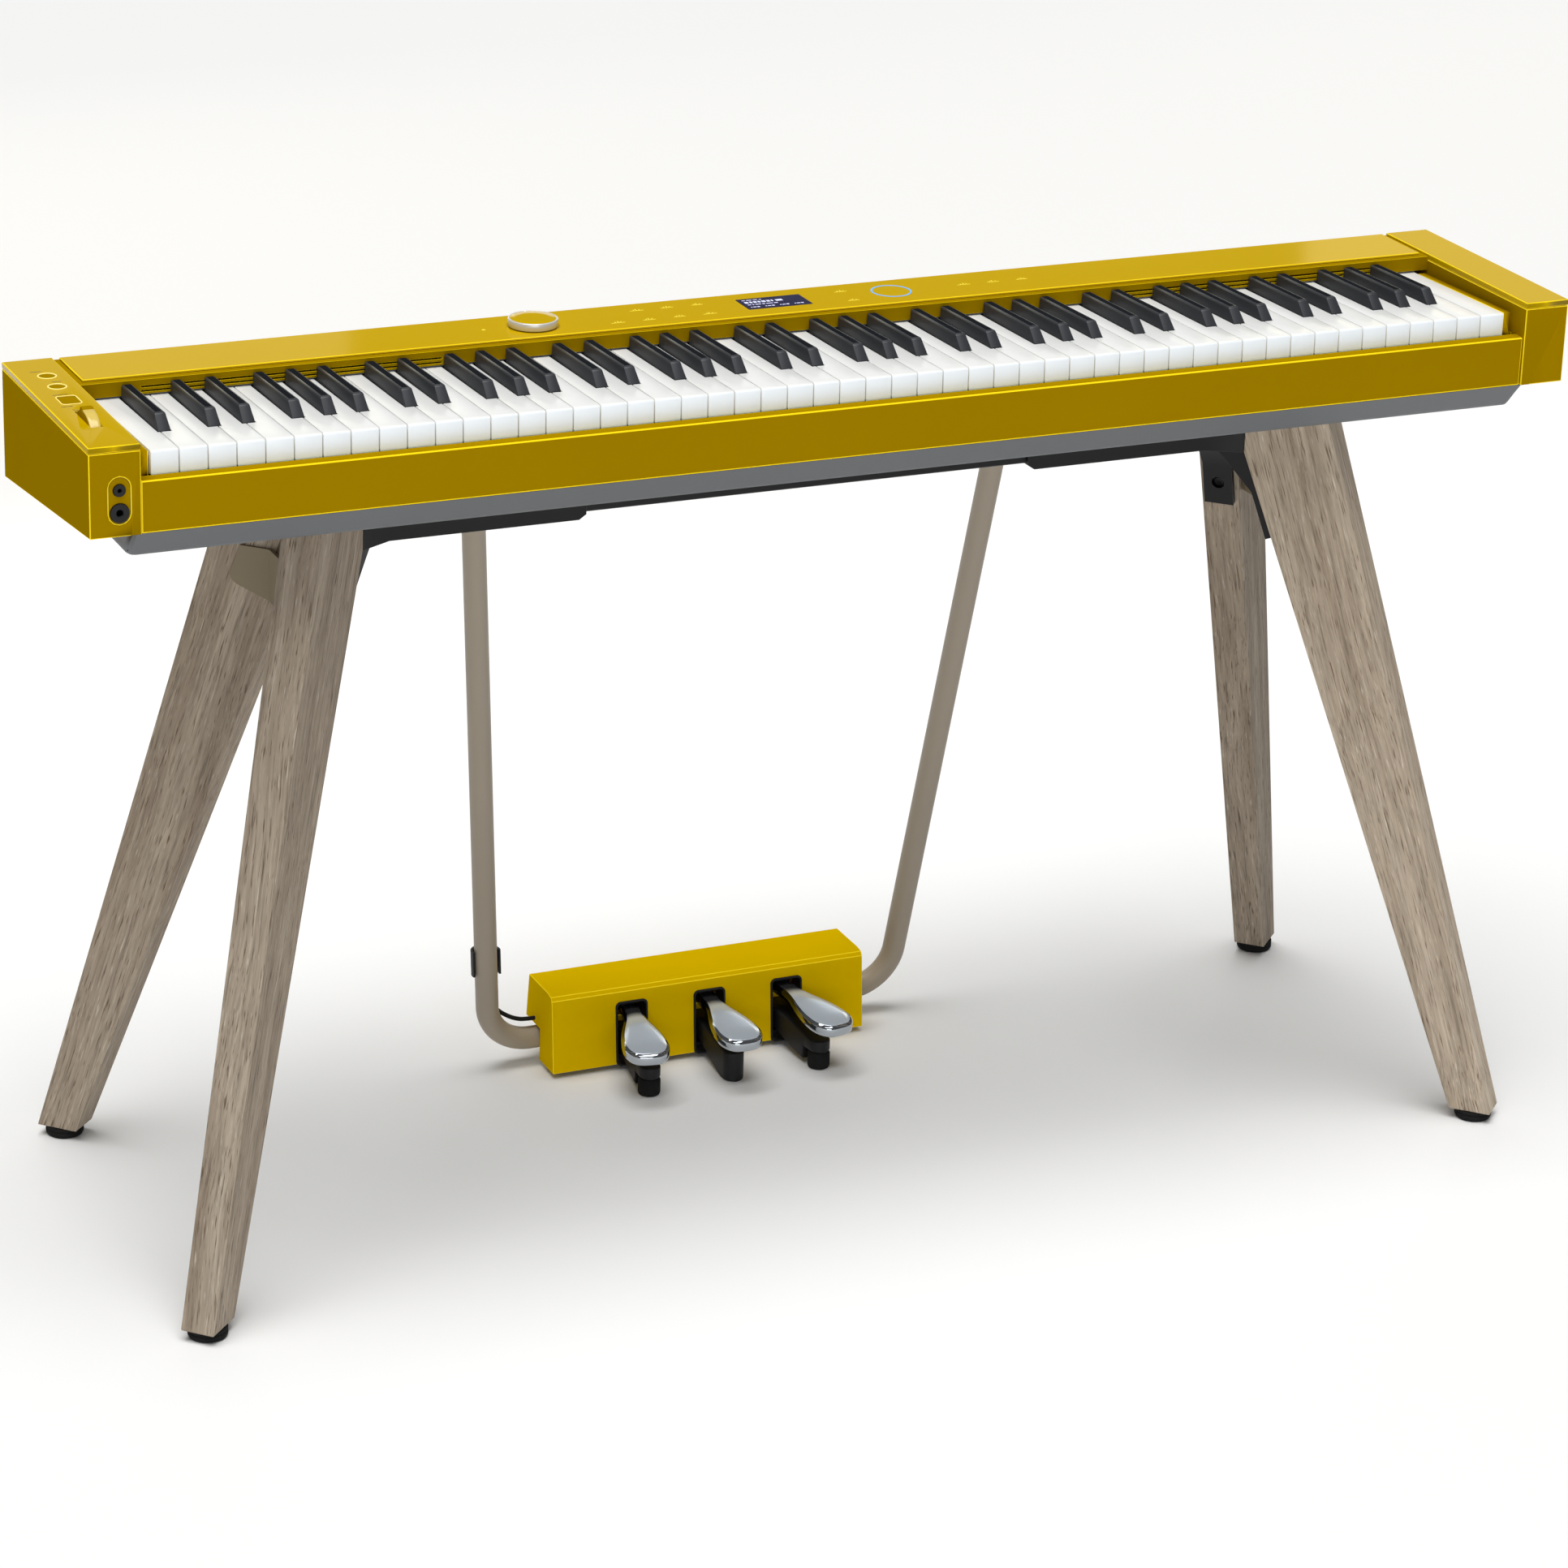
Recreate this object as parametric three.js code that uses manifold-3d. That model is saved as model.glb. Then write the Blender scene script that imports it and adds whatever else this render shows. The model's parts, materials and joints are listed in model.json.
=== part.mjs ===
// Slim 88-key digital piano on a four-legged wooden stand, with a hanging three-pedal unit.
// Millimetres, +Z up, +X to the player's right, +Y away from the player.
// The origin is on the floor, under the middle of the stand.
import * as THREE from 'three';
import * as BufferGeometryUtils from 'three/addons/utils/BufferGeometryUtils.js';
import Module from 'manifold-3d';

const wasm = await Module();
wasm.setup();

// ---------------------------------------------------------------- driving dimensions
const gap = 0.3;               // clearance between pieces that touch
const keyPitch = 23.6;         // one white key with its gap
const whiteCount = 52;
const bodyWidth = 1336;
const bodyDepth = 241.5;
const bodyTop = 74.3;          // lids and touch panel, above the case's lower front edge
const bodyLift = 672.5;        // floor to the case's lower front edge
const standMiddle = 141.2;     // case front to the stand's middle plane
const endWidth = 42;           // end blocks, across
const sideDrop = 23;           // how far the side panels drop from front to back
const lidThick = 5.2;
const wall = 3;                // case walls
const deckFront = 167;         // front face of the rear deck, from the case front
const deckBottom = 60;
const deckTop = 72.2;
const railTop = 42.8;
const trayDepth = 25.7;
const trayHalf = 634;
const keyPivot = { y: 226, z: 45 };
const keySlope = 1.44 * Math.PI / 180;   // key tops fall towards the back
const keyFront = -210;         // key front face, from the pivot
const whiteTop = 11.8;         // white key tops, above the pivot line
const whiteThick = 20;
const blackFront = -161.5;
const blackBack = -61;
const blackRise = 12;
const footHeight = 9.4;
const tubeRadius = 10.5;
const pedalPitch = 77.5;

const bodyHalf = bodyWidth / 2;
const innerHalf = bodyHalf - endWidth;
const keysHalf = whiteCount * keyPitch / 2;
const standTop = bodyLift - trayDepth - gap;

// ---------------------------------------------------------------- materials
const paint = (color, roughness, metalness = 0) =>
  new THREE.MeshStandardMaterial({ color, roughness, metalness });
const mustard = paint(0xb69400, 0.25);
const glossPanel = paint(0xc8a600, 0.08);
const greyPlastic = paint(0x686b6e, 0.5);
const whiteKey = paint(0xecedea, 0.35);
const blackKey = paint(0x323438, 0.5);
const darkPlastic = paint(0x161616, 0.6);
const feltCloth = paint(0x4a4c5a, 0.95);
const silver = paint(0xc4c2bd, 0.35, 0.5);
const glass = paint(0x14123a, 0.1);
const blueLight = paint(0x3f9cff, 0.3);
const wood = paint(0x8a7c69, 0.65);
const tan = paint(0x706550, 0.55);
const taupe = paint(0x8f8577, 0.45);
const blackSteel = paint(0x141414, 0.55, 0.3);
const rubber = paint(0x0d0d0d, 0.9);
const chrome = paint(0xdfe3e8, 0.08, 1);
const boardGreen = paint(0x1c5b36, 0.6);

// ---------------------------------------------------------------- shape helpers
function shapeOf(points) {
  return new THREE.Shape(points.map(([x, y]) => new THREE.Vector2(x, y)));
}

function extruded(shape, depth) {
  return new THREE.ExtrudeGeometry(shape, { depth, bevelEnabled: false, curveSegments: 6 });
}

// A plan outline of [x, y] points, or a shape, between two heights.
function plate(outline, z0, z1) {
  const shape = Array.isArray(outline) ? shapeOf(outline) : outline;
  return extruded(shape, z1 - z0).translate(0, 0, z0);
}

// A side profile of [y, z] points, or a shape, between two x values.
function alongX(outline, x0, x1) {
  const shape = Array.isArray(outline) ? shapeOf(outline) : outline;
  const turn = new THREE.Matrix4().makeBasis(
    new THREE.Vector3(0, 1, 0), new THREE.Vector3(0, 0, 1), new THREE.Vector3(1, 0, 0));
  return extruded(shape, x1 - x0).applyMatrix4(turn).translate(x0, 0, 0);
}

// A front outline of [x, z] points, or a shape, between two y values.
function alongY(outline, y0, y1) {
  const shape = Array.isArray(outline) ? shapeOf(outline) : outline;
  return extruded(shape, y1 - y0).rotateX(Math.PI / 2).translate(0, y1, 0);
}

function box(x0, x1, y0, y1, z0, z1) {
  return new THREE.BoxGeometry(x1 - x0, y1 - y0, z1 - z0)
    .translate((x0 + x1) / 2, (y0 + y1) / 2, (z0 + z1) / 2);
}

function arc(cx, cy, radius, from, to, steps) {
  const points = [];
  for (let i = 0; i <= steps; i += 1) {
    const a = from + (to - from) * i / steps;
    points.push([cx + radius * Math.cos(a), cy + radius * Math.sin(a)]);
  }
  return points;
}

function roundedRect(width, height, radius, cx = 0, cy = 0, steps = 3) {
  const x = width / 2 - radius;
  const y = height / 2 - radius;
  const turn = Math.PI / 2;
  return shapeOf([
    ...arc(cx + x, cy + y, radius, 0, turn, steps),
    ...arc(cx - x, cy + y, radius, turn, 2 * turn, steps),
    ...arc(cx - x, cy - y, radius, 2 * turn, 3 * turn, steps),
    ...arc(cx + x, cy - y, radius, 3 * turn, 4 * turn, steps),
  ]);
}

function circle(radius, cx = 0, cy = 0, steps = 24) {
  return shapeOf(arc(cx, cy, radius, 0, 2 * Math.PI, steps).slice(1));
}

// A turned piece about a vertical axis, from a profile of [radius, z] points.
function turned(profile, cx, cy, segments = 24) {
  const points = profile.map(([r, z]) => new THREE.Vector2(r, z));
  return new THREE.LatheGeometry(points, segments).rotateX(Math.PI / 2).translate(cx, cy, 0);
}

function mirrorX(geometry) {
  return mirrored(geometry, 0);
}

function mirrorY(geometry) {
  return mirrored(geometry, 1);
}

// Reflect a geometry and turn its faces round, so that they still point out.
function mirrored(geometry, axis) {
  const flat = geometry.index ? geometry.toNonIndexed() : geometry.clone();
  const p = flat.attributes.position;
  const out = new Float32Array(p.count * 3);
  for (let i = 0; i < p.count; i += 3) {
    [0, 2, 1].forEach((from, to) => {
      const v = [p.getX(i + from), p.getY(i + from), p.getZ(i + from)];
      v[axis] = -v[axis];
      out.set(v, (i + to) * 3);
    });
  }
  const result = new THREE.BufferGeometry();
  result.setAttribute('position', new THREE.BufferAttribute(out, 3));
  return result;
}

function solid(geometry) {
  const bare = geometry.clone();
  bare.deleteAttribute('normal');
  bare.deleteAttribute('uv');
  const merged = BufferGeometryUtils.mergeVertices(bare, 1e-4);
  const index = merged.index.array;
  return new wasm.Manifold(new wasm.Mesh({
    numProp: 3,
    vertProperties: new Float32Array(merged.attributes.position.array),
    triVerts: new Uint32Array(index),
  }));
}

function geometryOf(manifold) {
  const mesh = manifold.getMesh();
  const geometry = new THREE.BufferGeometry();
  geometry.setAttribute('position', new THREE.BufferAttribute(new Float32Array(mesh.vertProperties), 3));
  geometry.setIndex(new THREE.BufferAttribute(new Uint32Array(mesh.triVerts), 1));
  geometry.computeVertexNormals();
  return geometry;
}

function join(...geometries) {
  return geometryOf(geometries.map(solid).reduce((a, b) => a.add(b)));
}

function cut(geometry, ...tools) {
  return geometryOf(tools.map(solid).reduce((a, b) => a.subtract(b), solid(geometry)));
}

// A path of straight runs joined by round bends of one radius. Its parameter gives each
// straight one step and each bend bendSteps steps, so a swept tube is only fine where it turns.
class BentPath extends THREE.Curve {
  constructor(corners, radius, bendSteps) {
    super();
    this.bendSteps = bendSteps;
    this.points = [corners[0]];
    for (let i = 1; i < corners.length - 1; i += 1) {
      const into = corners[i].clone().sub(corners[i - 1]).normalize();
      const out = corners[i + 1].clone().sub(corners[i]).normalize();
      const angle = Math.acos(into.dot(out));
      const start = corners[i].clone().addScaledVector(into, -radius * Math.tan(angle / 2));
      const side = out.clone().addScaledVector(into, -into.dot(out)).normalize();
      const centre = start.clone().addScaledVector(side, radius);
      for (let k = 0; k <= bendSteps; k += 1) {
        const turn = angle * k / bendSteps;
        this.points.push(centre.clone()
          .addScaledVector(side, -radius * Math.cos(turn))
          .addScaledVector(into, radius * Math.sin(turn)));
      }
    }
    this.points.push(corners[corners.length - 1]);
    this.steps = this.points.length - 1;
  }

  getPoint(t) {
    const at = Math.min(t * this.steps, this.steps);
    const i = Math.min(Math.floor(at), this.steps - 1);
    return this.points[i].clone().lerp(this.points[i + 1], at - i);
  }

  getPointAt(u) {
    return this.getPoint(u);
  }

  getTangentAt(u) {
    const i = Math.round(u * this.steps);
    const before = this.points[Math.max(i - 1, 0)];
    const here = this.points[i];
    const after = this.points[Math.min(i + 1, this.steps)];
    const into = here.clone().sub(before).normalize();
    return after.clone().sub(here).normalize().add(into).normalize();
  }
}

function tubeAlong(corners, radius, bendRadius, sides, bendSteps) {
  const path = new BentPath(corners.map((c) => new THREE.Vector3(...c)), bendRadius, bendSteps);
  const ring = [];
  for (let i = 0; i < sides; i += 1) {
    const a = 2 * Math.PI * i / sides;
    ring.push([radius * Math.cos(a), radius * Math.sin(a)]);
  }
  return new THREE.ExtrudeGeometry(shapeOf(ring), { steps: path.steps, extrudePath: path });
}

// ---------------------------------------------------------------- groups
const piano = new THREE.Group();
const body = new THREE.Group();
body.position.set(0, -standMiddle, bodyLift);
const keys = new THREE.Group();
keys.position.set(0, keyPivot.y, keyPivot.z);
keys.rotation.x = -keySlope;
body.add(keys);
piano.add(body);

function add(group, name, geometry, material) {
  const mesh = new THREE.Mesh(geometry, material);
  mesh.name = name;
  group.add(mesh);
  return mesh;
}

// ---------------------------------------------------------------- case
const jack = { x: -643.5, small: 37.6, large: 19.2 };
const wheel = { x: -645, y: 75.5, z: 54, radius: 29, width: 9.4, slot: 51.5 };
const roundButtons = [
  { name: 'power_button', x: -644.4, y: 192.6 },
  { name: 'round_button', x: -644.8, y: 162.4 },
];
const buttonRadius = 6.6;
const squareButton = { x: -646.2, y: 125.2, width: 14.6, depth: 20.4 };
const dial = { x: -221.5, y: 204, radius: 21.5, bottom: 75.3, top: 82 };
const display = { x: 1.5, y: 208, width: 59.6, depth: 31 };
const lightRing = { x: 112, y: 207.6, inner: 16.3, outer: 17.9 };
const speaker = { x: 430, y: 120, radius: 46 };
const pedalSocket = { x: -252, z: 15.5, width: 16, height: 8 };
const socketBore = 3.2;
const rearSockets = [
  { x: -60, radius: 4.8 },
  { x: 20, radius: 5.2 },
  { x: 44, radius: 5.2 },
];
const slitRows = [61.6, 65.2];
const slitHeight = 1.6;
const slitFrom = 316;
const slitTo = 574;

function bottomCase() {
  const floor = -trayDepth;
  const outer = alongX([
    [3.2, -0.4], [20.5, floor + 4.1], [23.2, floor + 1.3], [27.2, floor],
    [231, floor], [235, floor + 1.5], [236.5, floor + 5.2], [236.5, -0.4],
  ], -trayHalf, trayHalf);
  const hollow = alongX([
    [7.4, 1], [24, floor + 5], [28, floor + 2.6], [230, floor + 2.6], [233.6, floor + 6], [233.6, 1],
  ], -trayHalf + wall, trayHalf - wall);
  const grilles = [];
  for (const side of [-1, 1]) {
    for (let row = -2; row <= 2; row += 1) {
      const x = side * speaker.x;
      const y = speaker.y + row * 14;
      grilles.push(plate(roundedRect(64 - 8 * Math.abs(row), 4, 1.9, x, y, 2), floor - 1, floor + 4));
    }
  }
  return cut(outer, hollow, ...grilles);
}

// The right-hand end block, with the cheek strip beside the last key.
function endBlock() {
  const top = bodyTop - lidThick - gap;
  const shell = alongX(
    [[0, 0], [bodyDepth, -sideDrop], [bodyDepth, top], [0, top]], innerHalf, bodyHalf);
  const overTray = box(innerHalf - 1, trayHalf + 0.5, -1, bodyDepth + 1, -sideDrop - 5, 0.2);
  const pocket = box(innerHalf + wall, bodyHalf - wall, wall + 0.5, bodyDepth - wall, 9, top + 1);
  const cheek = alongX([[19, 30], [163, 30], [163, 58], [19, 61.6]], keysHalf + 0.7, keysHalf + 8);
  const ledge = box(keysHalf + 7.9, innerHalf + 0.2, 19, 163, 30, 43);
  return join(cut(shell, overTray, pocket), cheek, ledge);
}

function leftEndBlock() {
  const recess = alongY(roundedRect(20, 40.5, 9.9, jack.x, 29.4), -1, 1);
  const smallHole = alongY(circle(5.4, jack.x, jack.small), -1, 5);
  const largeHole = alongY(circle(8.1, jack.x, jack.large), -1, 5);
  return cut(mirrorX(endBlock()), recess, smallHole, largeHole);
}

function lid(side) {
  const inner = side * (innerHalf + 0.1);
  const outer = side * bodyHalf;
  const shape = shapeOf([[inner, 0], [outer, 0], [outer, bodyDepth], [inner, bodyDepth]]);
  if (side < 0) {
    for (const b of roundButtons) {
      shape.holes.push(circle(buttonRadius + 0.5, b.x, b.y));
    }
    shape.holes.push(roundedRect(
      squareButton.width + 1, squareButton.depth + 1, 2, squareButton.x, squareButton.y));
    shape.holes.push(roundedRect(wheel.width + 2, wheel.slot, 1, wheel.x, wheel.y));
  }
  return plate(shape, bodyTop - lidThick, bodyTop);
}

function rearDeck() {
  const half = innerHalf - 0.4;
  const shell = alongX([
    [deckFront, deckBottom], [deckFront + wall, deckBottom], [deckFront + wall, deckTop - wall],
    [bodyDepth - wall, deckTop - wall], [bodyDepth - wall, -sideDrop], [bodyDepth, -sideDrop],
    [bodyDepth, deckTop], [deckFront, deckTop],
  ], -half, half);
  const tools = [plate(circle(6, dial.x, dial.y), deckTop - wall - 1, deckTop + 1)];
  for (const z of slitRows) {
    tools.push(box(-slitTo, -slitFrom, deckFront - 1, deckFront + wall + 1, z, z + slitHeight));
    tools.push(box(slitFrom, slitTo, deckFront - 1, deckFront + wall + 1, z, z + slitHeight));
  }
  const rear = [bodyDepth - wall - 1, bodyDepth + 1];
  tools.push(alongY(roundedRect(
    pedalSocket.width, pedalSocket.height, 1.5, pedalSocket.x, pedalSocket.z), ...rear));
  for (const socket of rearSockets) {
    tools.push(alongY(circle(socket.radius, socket.x, pedalSocket.z, 16), ...rear));
  }
  return cut(shell, ...tools);
}

function touchPanel() {
  const half = innerHalf - 5.5;
  const shape = shapeOf([[-half, 174], [half, 174], [half, 240], [-half, 240]]);
  shape.holes.push(circle(5, dial.x, dial.y));
  shape.holes.push(roundedRect(display.width + 0.6, display.depth + 0.6, 1, display.x, display.y));
  const groove = turned([
    [lightRing.inner - 0.3, 73.2], [lightRing.outer + 0.3, 73.2], [lightRing.outer + 0.3, 76],
    [lightRing.inner - 0.3, 76], [lightRing.inner - 0.3, 73.2],
  ], lightRing.x, lightRing.y, 36);
  return cut(plate(shape, deckTop + gap, bodyTop), groove);
}

function frontRail() {
  const front = 1.9;
  return alongX([
    [front, 0], [front + wall, 0], [front + wall, railTop - 4], [14, railTop - 4],
    [14, railTop + 0.4], [front, railTop],
  ], -innerHalf + 0.4, innerHalf - 0.4);
}

function keyBed() {
  const half = keysHalf - 3;
  const bed = box(-half, half, 17, 212, 1, 4);
  const frontStop = box(-half, half, 24, 34, 3.5, 30.6);
  const pivotBeam = box(-half, half, 200, 212, 3.5, 25);
  return join(bed, frontStop, pivotBeam);
}

add(body, 'bottom_case', bottomCase(), greyPlastic);
add(body, 'left_end_block', leftEndBlock(), mustard);
add(body, 'right_end_block', endBlock(), mustard);
add(body, 'left_lid', lid(-1), mustard);
add(body, 'right_lid', lid(1), mustard);
add(body, 'rear_deck', rearDeck(), mustard);
add(body, 'touch_panel', touchPanel(), glossPanel);
add(body, 'front_rail', frontRail(), mustard);
add(body, 'key_bed', keyBed(), darkPlastic);
add(body, 'key_felt', box(-keysHalf + 1, keysHalf - 1, deckFront + 0.3, deckFront + 3.7, 58.8, 59.7),
  feltCloth);

// ---------------------------------------------------------------- controls and electronics
function dialKnob() {
  return turned([
    [0, 62], [3, 62], [3, dial.bottom], [dial.radius, dial.bottom],
    [dial.radius, dial.top - 0.6], [dial.radius - 0.6, dial.top], [0, dial.top],
  ], dial.x, dial.y, 36);
}

function pitchWheel() {
  const disc = alongX(circle(wheel.radius, 0, 0, 48),
    wheel.x - wheel.width / 2, wheel.x + wheel.width / 2);
  const notch = alongX([[-1, wheel.radius - 3.2], [9, wheel.radius + 2], [-3, wheel.radius + 2]],
    wheel.x - wheel.width, wheel.x + wheel.width);
  return cut(disc, notch).translate(0, wheel.y, wheel.z);
}

function headphoneJacks() {
  const front = -0.4;
  const block = box(jack.x - 6.5, jack.x + 6.5, 12, 22, 12, 43);
  const small = alongY(circle(5, jack.x, jack.small), front, 13);
  const large = alongY(circle(7.7, jack.x, jack.large), front, 13);
  const smallBore = alongY(circle(1.8, jack.x, jack.small, 12), front - 1, 16);
  const largeBore = alongY(circle(3.3, jack.x, jack.large, 16), front - 1, 25);
  return cut(join(block, small, large), smallBore, largeBore);
}

// A shallow loudspeaker, its cone opening downwards on to the grille slots.
function loudspeaker(side) {
  const floor = -trayDepth + 3.2;
  return turned([
    [0, floor + 7], [speaker.radius * 0.45, floor + 6], [speaker.radius * 0.82, floor],
    [speaker.radius, floor], [speaker.radius, floor + 3], [speaker.radius * 0.5, floor + 11],
    [speaker.radius * 0.5, floor + 17], [0, floor + 17],
  ], side * speaker.x, speaker.y, 20);
}

function mainBoard() {
  const rear = bodyDepth - wall - 0.4;
  const board = box(-275, 110, 180, 232, -16, -14.4);
  const parts = [];
  for (const { x } of [pedalSocket, ...rearSockets]) {
    parts.push(box(x - 9, x + 9, 214, 231.5, -14.6, 22));
    parts.push(box(x - 9, x + 9, 231, rear, 6, 22));
  }
  parts.push(box(-180, -150, 190, 215, -14.6, -10));
  parts.push(box(60, 100, 186, 206, -14.6, -9));
  const bores = rearSockets.map((socket) =>
    alongY(circle(socketBore, socket.x, pedalSocket.z, 16), rear - 14, rear + 1));
  bores.push(alongY(roundedRect(12, 5, 1, pedalSocket.x, pedalSocket.z), rear - 8, rear + 1));
  return cut(join(board, ...parts), ...bores);
}

add(body, 'dial_knob', dialKnob(), silver);
add(body, 'light_ring', turned([
  [lightRing.inner, 73.5], [lightRing.outer, 73.5], [lightRing.outer, 74.5],
  [lightRing.inner, 74.5], [lightRing.inner, 73.5],
], lightRing.x, lightRing.y, 36), blueLight);
add(body, 'display_window', plate(
  roundedRect(display.width, display.depth, 1, display.x, display.y), deckTop + gap, bodyTop + 0.1),
glass);
add(body, 'pitch_wheel', pitchWheel(), mustard);
for (const b of roundButtons) {
  add(body, b.name, plate(circle(buttonRadius, b.x, b.y), 66, bodyTop + 0.3), mustard);
}
add(body, 'square_button', plate(roundedRect(
  squareButton.width, squareButton.depth, 1.5, squareButton.x, squareButton.y), 66, bodyTop + 0.3),
mustard);
add(body, 'headphone_jacks', headphoneJacks(), darkPlastic);
add(body, 'left_speaker', loudspeaker(-1), darkPlastic);
add(body, 'right_speaker', loudspeaker(1), darkPlastic);
add(body, 'main_board', mainBoard(), boardGreen);

// ---------------------------------------------------------------- keys
// Inside the keys group, y and z are measured from the pivot line, and key tops are level.
const noteNames = ['C', 'D', 'E', 'F', 'G', 'A', 'B'];
const sharpShift = { C: -2.4, D: 2.4, F: -3.6, G: 0, A: 3.6 };   // black key off the white joint
const blackHalf = 5.3;
const blackTopHalf = 4.6;
const keyGap = 0.45;           // half the gap between two white keys
const tailEnd = 6.3;
const whiteBar = [-4, 6.3];    // y range of the hidden bar that joins a group of white keys
const blackBar = [7.5, 11.2];

function noteOf(index) {
  const letter = noteNames[(index + 5) % 7];
  const octave = Math.floor((index + 5) / 7);
  return { letter, octave };
}

function jointX(index) {
  return -keysHalf + index * keyPitch;
}

// Centre of the black key to the right of a white key, or null where there is none.
function blackCentre(index) {
  const { letter } = noteOf(index);
  const last = index < 0 || index >= whiteCount - 1;
  return last || !(letter in sharpShift) ? null : jointX(index + 1) + sharpShift[letter];
}

function whiteKeySolid(index) {
  const left = jointX(index) + keyGap;
  const right = jointX(index + 1) - keyGap;
  const before = blackCentre(index - 1);
  const after = blackCentre(index);
  const neckLeft = before === null ? left : before + blackHalf + 0.7;
  const neckRight = after === null ? right : after - blackHalf - 0.7;
  const shoulder = blackFront - 1;
  const outline = [[left, keyFront], [right, keyFront]];
  if (after !== null) {
    outline.push([right, shoulder], [neckRight, shoulder]);
  }
  outline.push([neckRight, tailEnd], [neckLeft, tailEnd]);
  if (before !== null) {
    outline.push([neckLeft, shoulder], [left, shoulder]);
  }
  return plate(outline, whiteTop - whiteThick, whiteTop);
}

// The cap leans back at the front and narrows upwards; the tail runs on under the deck.
function blackKeySolid(centre, end) {
  const low = -5;
  const tail = 8;
  const top = whiteTop + blackRise;
  const cap = alongX([
    [blackFront, low], [blackBack, low], [blackBack, top - 0.6], [blackFront + 13, top],
    [blackFront + 10.5, top - 1.2], [blackFront, whiteTop],
  ], centre - blackHalf, centre + blackHalf);
  const p = cap.attributes.position;
  for (let i = 0; i < p.count; i += 1) {
    if (p.getZ(i) > whiteTop + 1) {
      const side = Math.sign(p.getX(i) - centre);
      p.setX(i, centre + side * blackTopHalf);
    }
  }
  return join(cap, box(centre - blackHalf, centre + blackHalf, blackBack - 0.2, end, low, tail));
}

function whiteGroup(first, last) {
  const bar = box(jointX(first) + 2, jointX(last + 1) - 2, ...whiteBar,
    whiteTop - whiteThick - 7.5, whiteTop - whiteThick + 0.2);
  const solids = [bar];
  for (let i = first; i <= last; i += 1) {
    solids.push(whiteKeySolid(i));
  }
  return join(...solids);
}

function blackGroup(first, last) {
  const centres = [];
  for (let i = first; i <= last; i += 1) {
    if (blackCentre(i) !== null) {
      centres.push(blackCentre(i));
    }
  }
  const bar = box(centres[0] - blackHalf, centres[centres.length - 1] + blackHalf, ...blackBar, -5, 8);
  return join(bar, ...centres.map((c) => blackKeySolid(c, blackBar[0] + 0.2)));
}

const middleFirst = 23;        // white key index of middle C
const middleLast = 29;
add(keys, 'white_keys_low', whiteGroup(0, middleFirst - 1), whiteKey);
add(keys, 'black_keys_low', blackGroup(0, middleFirst - 1), blackKey);
for (let i = middleFirst; i <= middleLast; i += 1) {
  const { letter, octave } = noteOf(i);
  const name = `${letter.toLowerCase()}${octave}`;
  add(keys, `key_${name}`, whiteKeySolid(i), whiteKey);
  if (blackCentre(i) !== null) {
    add(keys, `key_${name}_sharp`, blackKeySolid(blackCentre(i), tailEnd), blackKey);
  }
}
add(keys, 'white_keys_high', whiteGroup(middleLast + 1, whiteCount - 1), whiteKey);
add(keys, 'black_keys_high', blackGroup(middleLast + 1, whiteCount - 1), blackKey);

// ---------------------------------------------------------------- stand
// Each leg is a tapering board in an upright plane at 45 degrees. In that plane, s runs inwards
// along the lean and t is the distance of a face from the stand's centre line.
const legTop = standTop;
const legBottom = footHeight + 0.2;
const legKneeZ = 603.5;        // above it the inner edge is upright against the bracket
const legFace = 295.5;         // t of the outer broad face
const legThickBottom = 30;
const legThickTop = 36.8;
const legOuter = { bottom: -589.3, top: -392.6 };
const legInner = { bottom: -551.2, knee: -319.9 };
const footRadius = 16.7;
const root2 = Math.SQRT2;

function fromLegPlane(s, t) {
  return [(s - t) / root2, (s + t) / root2];
}

function innerEdge(z) {
  const share = (z - legBottom) / (legKneeZ - legBottom);
  return legInner.bottom + share * (legInner.knee - legInner.bottom);
}

// An outline of [s, z] points, between two t values, of the front left leg's plane.
function inLegPlane(outline, t0, t1) {
  const turn = new THREE.Matrix4().makeBasis(
    new THREE.Vector3(1 / root2, 1 / root2, 0),
    new THREE.Vector3(0, 0, 1),
    new THREE.Vector3(1 / root2, -1 / root2, 0));
  const [x, y] = fromLegPlane(0, t1);
  return extruded(shapeOf(outline), t1 - t0).applyMatrix4(turn).translate(x, y, 0);
}

function leg() {
  const outline = [
    [legOuter.bottom, legBottom], [legInner.bottom, legBottom], [legInner.knee, legKneeZ],
    [legInner.knee, legTop], [legOuter.top, legTop],
  ];
  const board = inLegPlane(outline, legFace - 1, legFace);
  const p = board.attributes.position;
  for (let i = 0; i < p.count; i += 1) {
    const [x, y, z] = [p.getX(i), p.getY(i), p.getZ(i)];
    const s = (x + y) / root2;
    const t = (y - x) / root2;
    const rise = (z - legBottom) / (legTop - legBottom);
    const thick = legThickBottom + rise * (legThickTop - legThickBottom);
    const [nx, ny] = fromLegPlane(s, t < legFace - 0.5 ? legFace - thick : legFace);
    p.setXYZ(i, nx, ny, z);
  }
  return board;
}

function foot() {
  const s = (legOuter.bottom + legInner.bottom) / 2;
  const [x, y] = fromLegPlane(s, legFace - legThickBottom / 2);
  const top = footHeight - 0.2;
  return turned([[0, 0], [footRadius - 1.4, 0], [footRadius, 1.6], [footRadius, top], [0, top]], x, y, 24);
}

const arm = { end: 206, halfWidth: 25, bottom: 602.5, flare: 380 };
const strap = { bottom: 527, thick: 6.3, halfWidth: 13.5, hole: 547, holeRadius: 6 };

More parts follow.
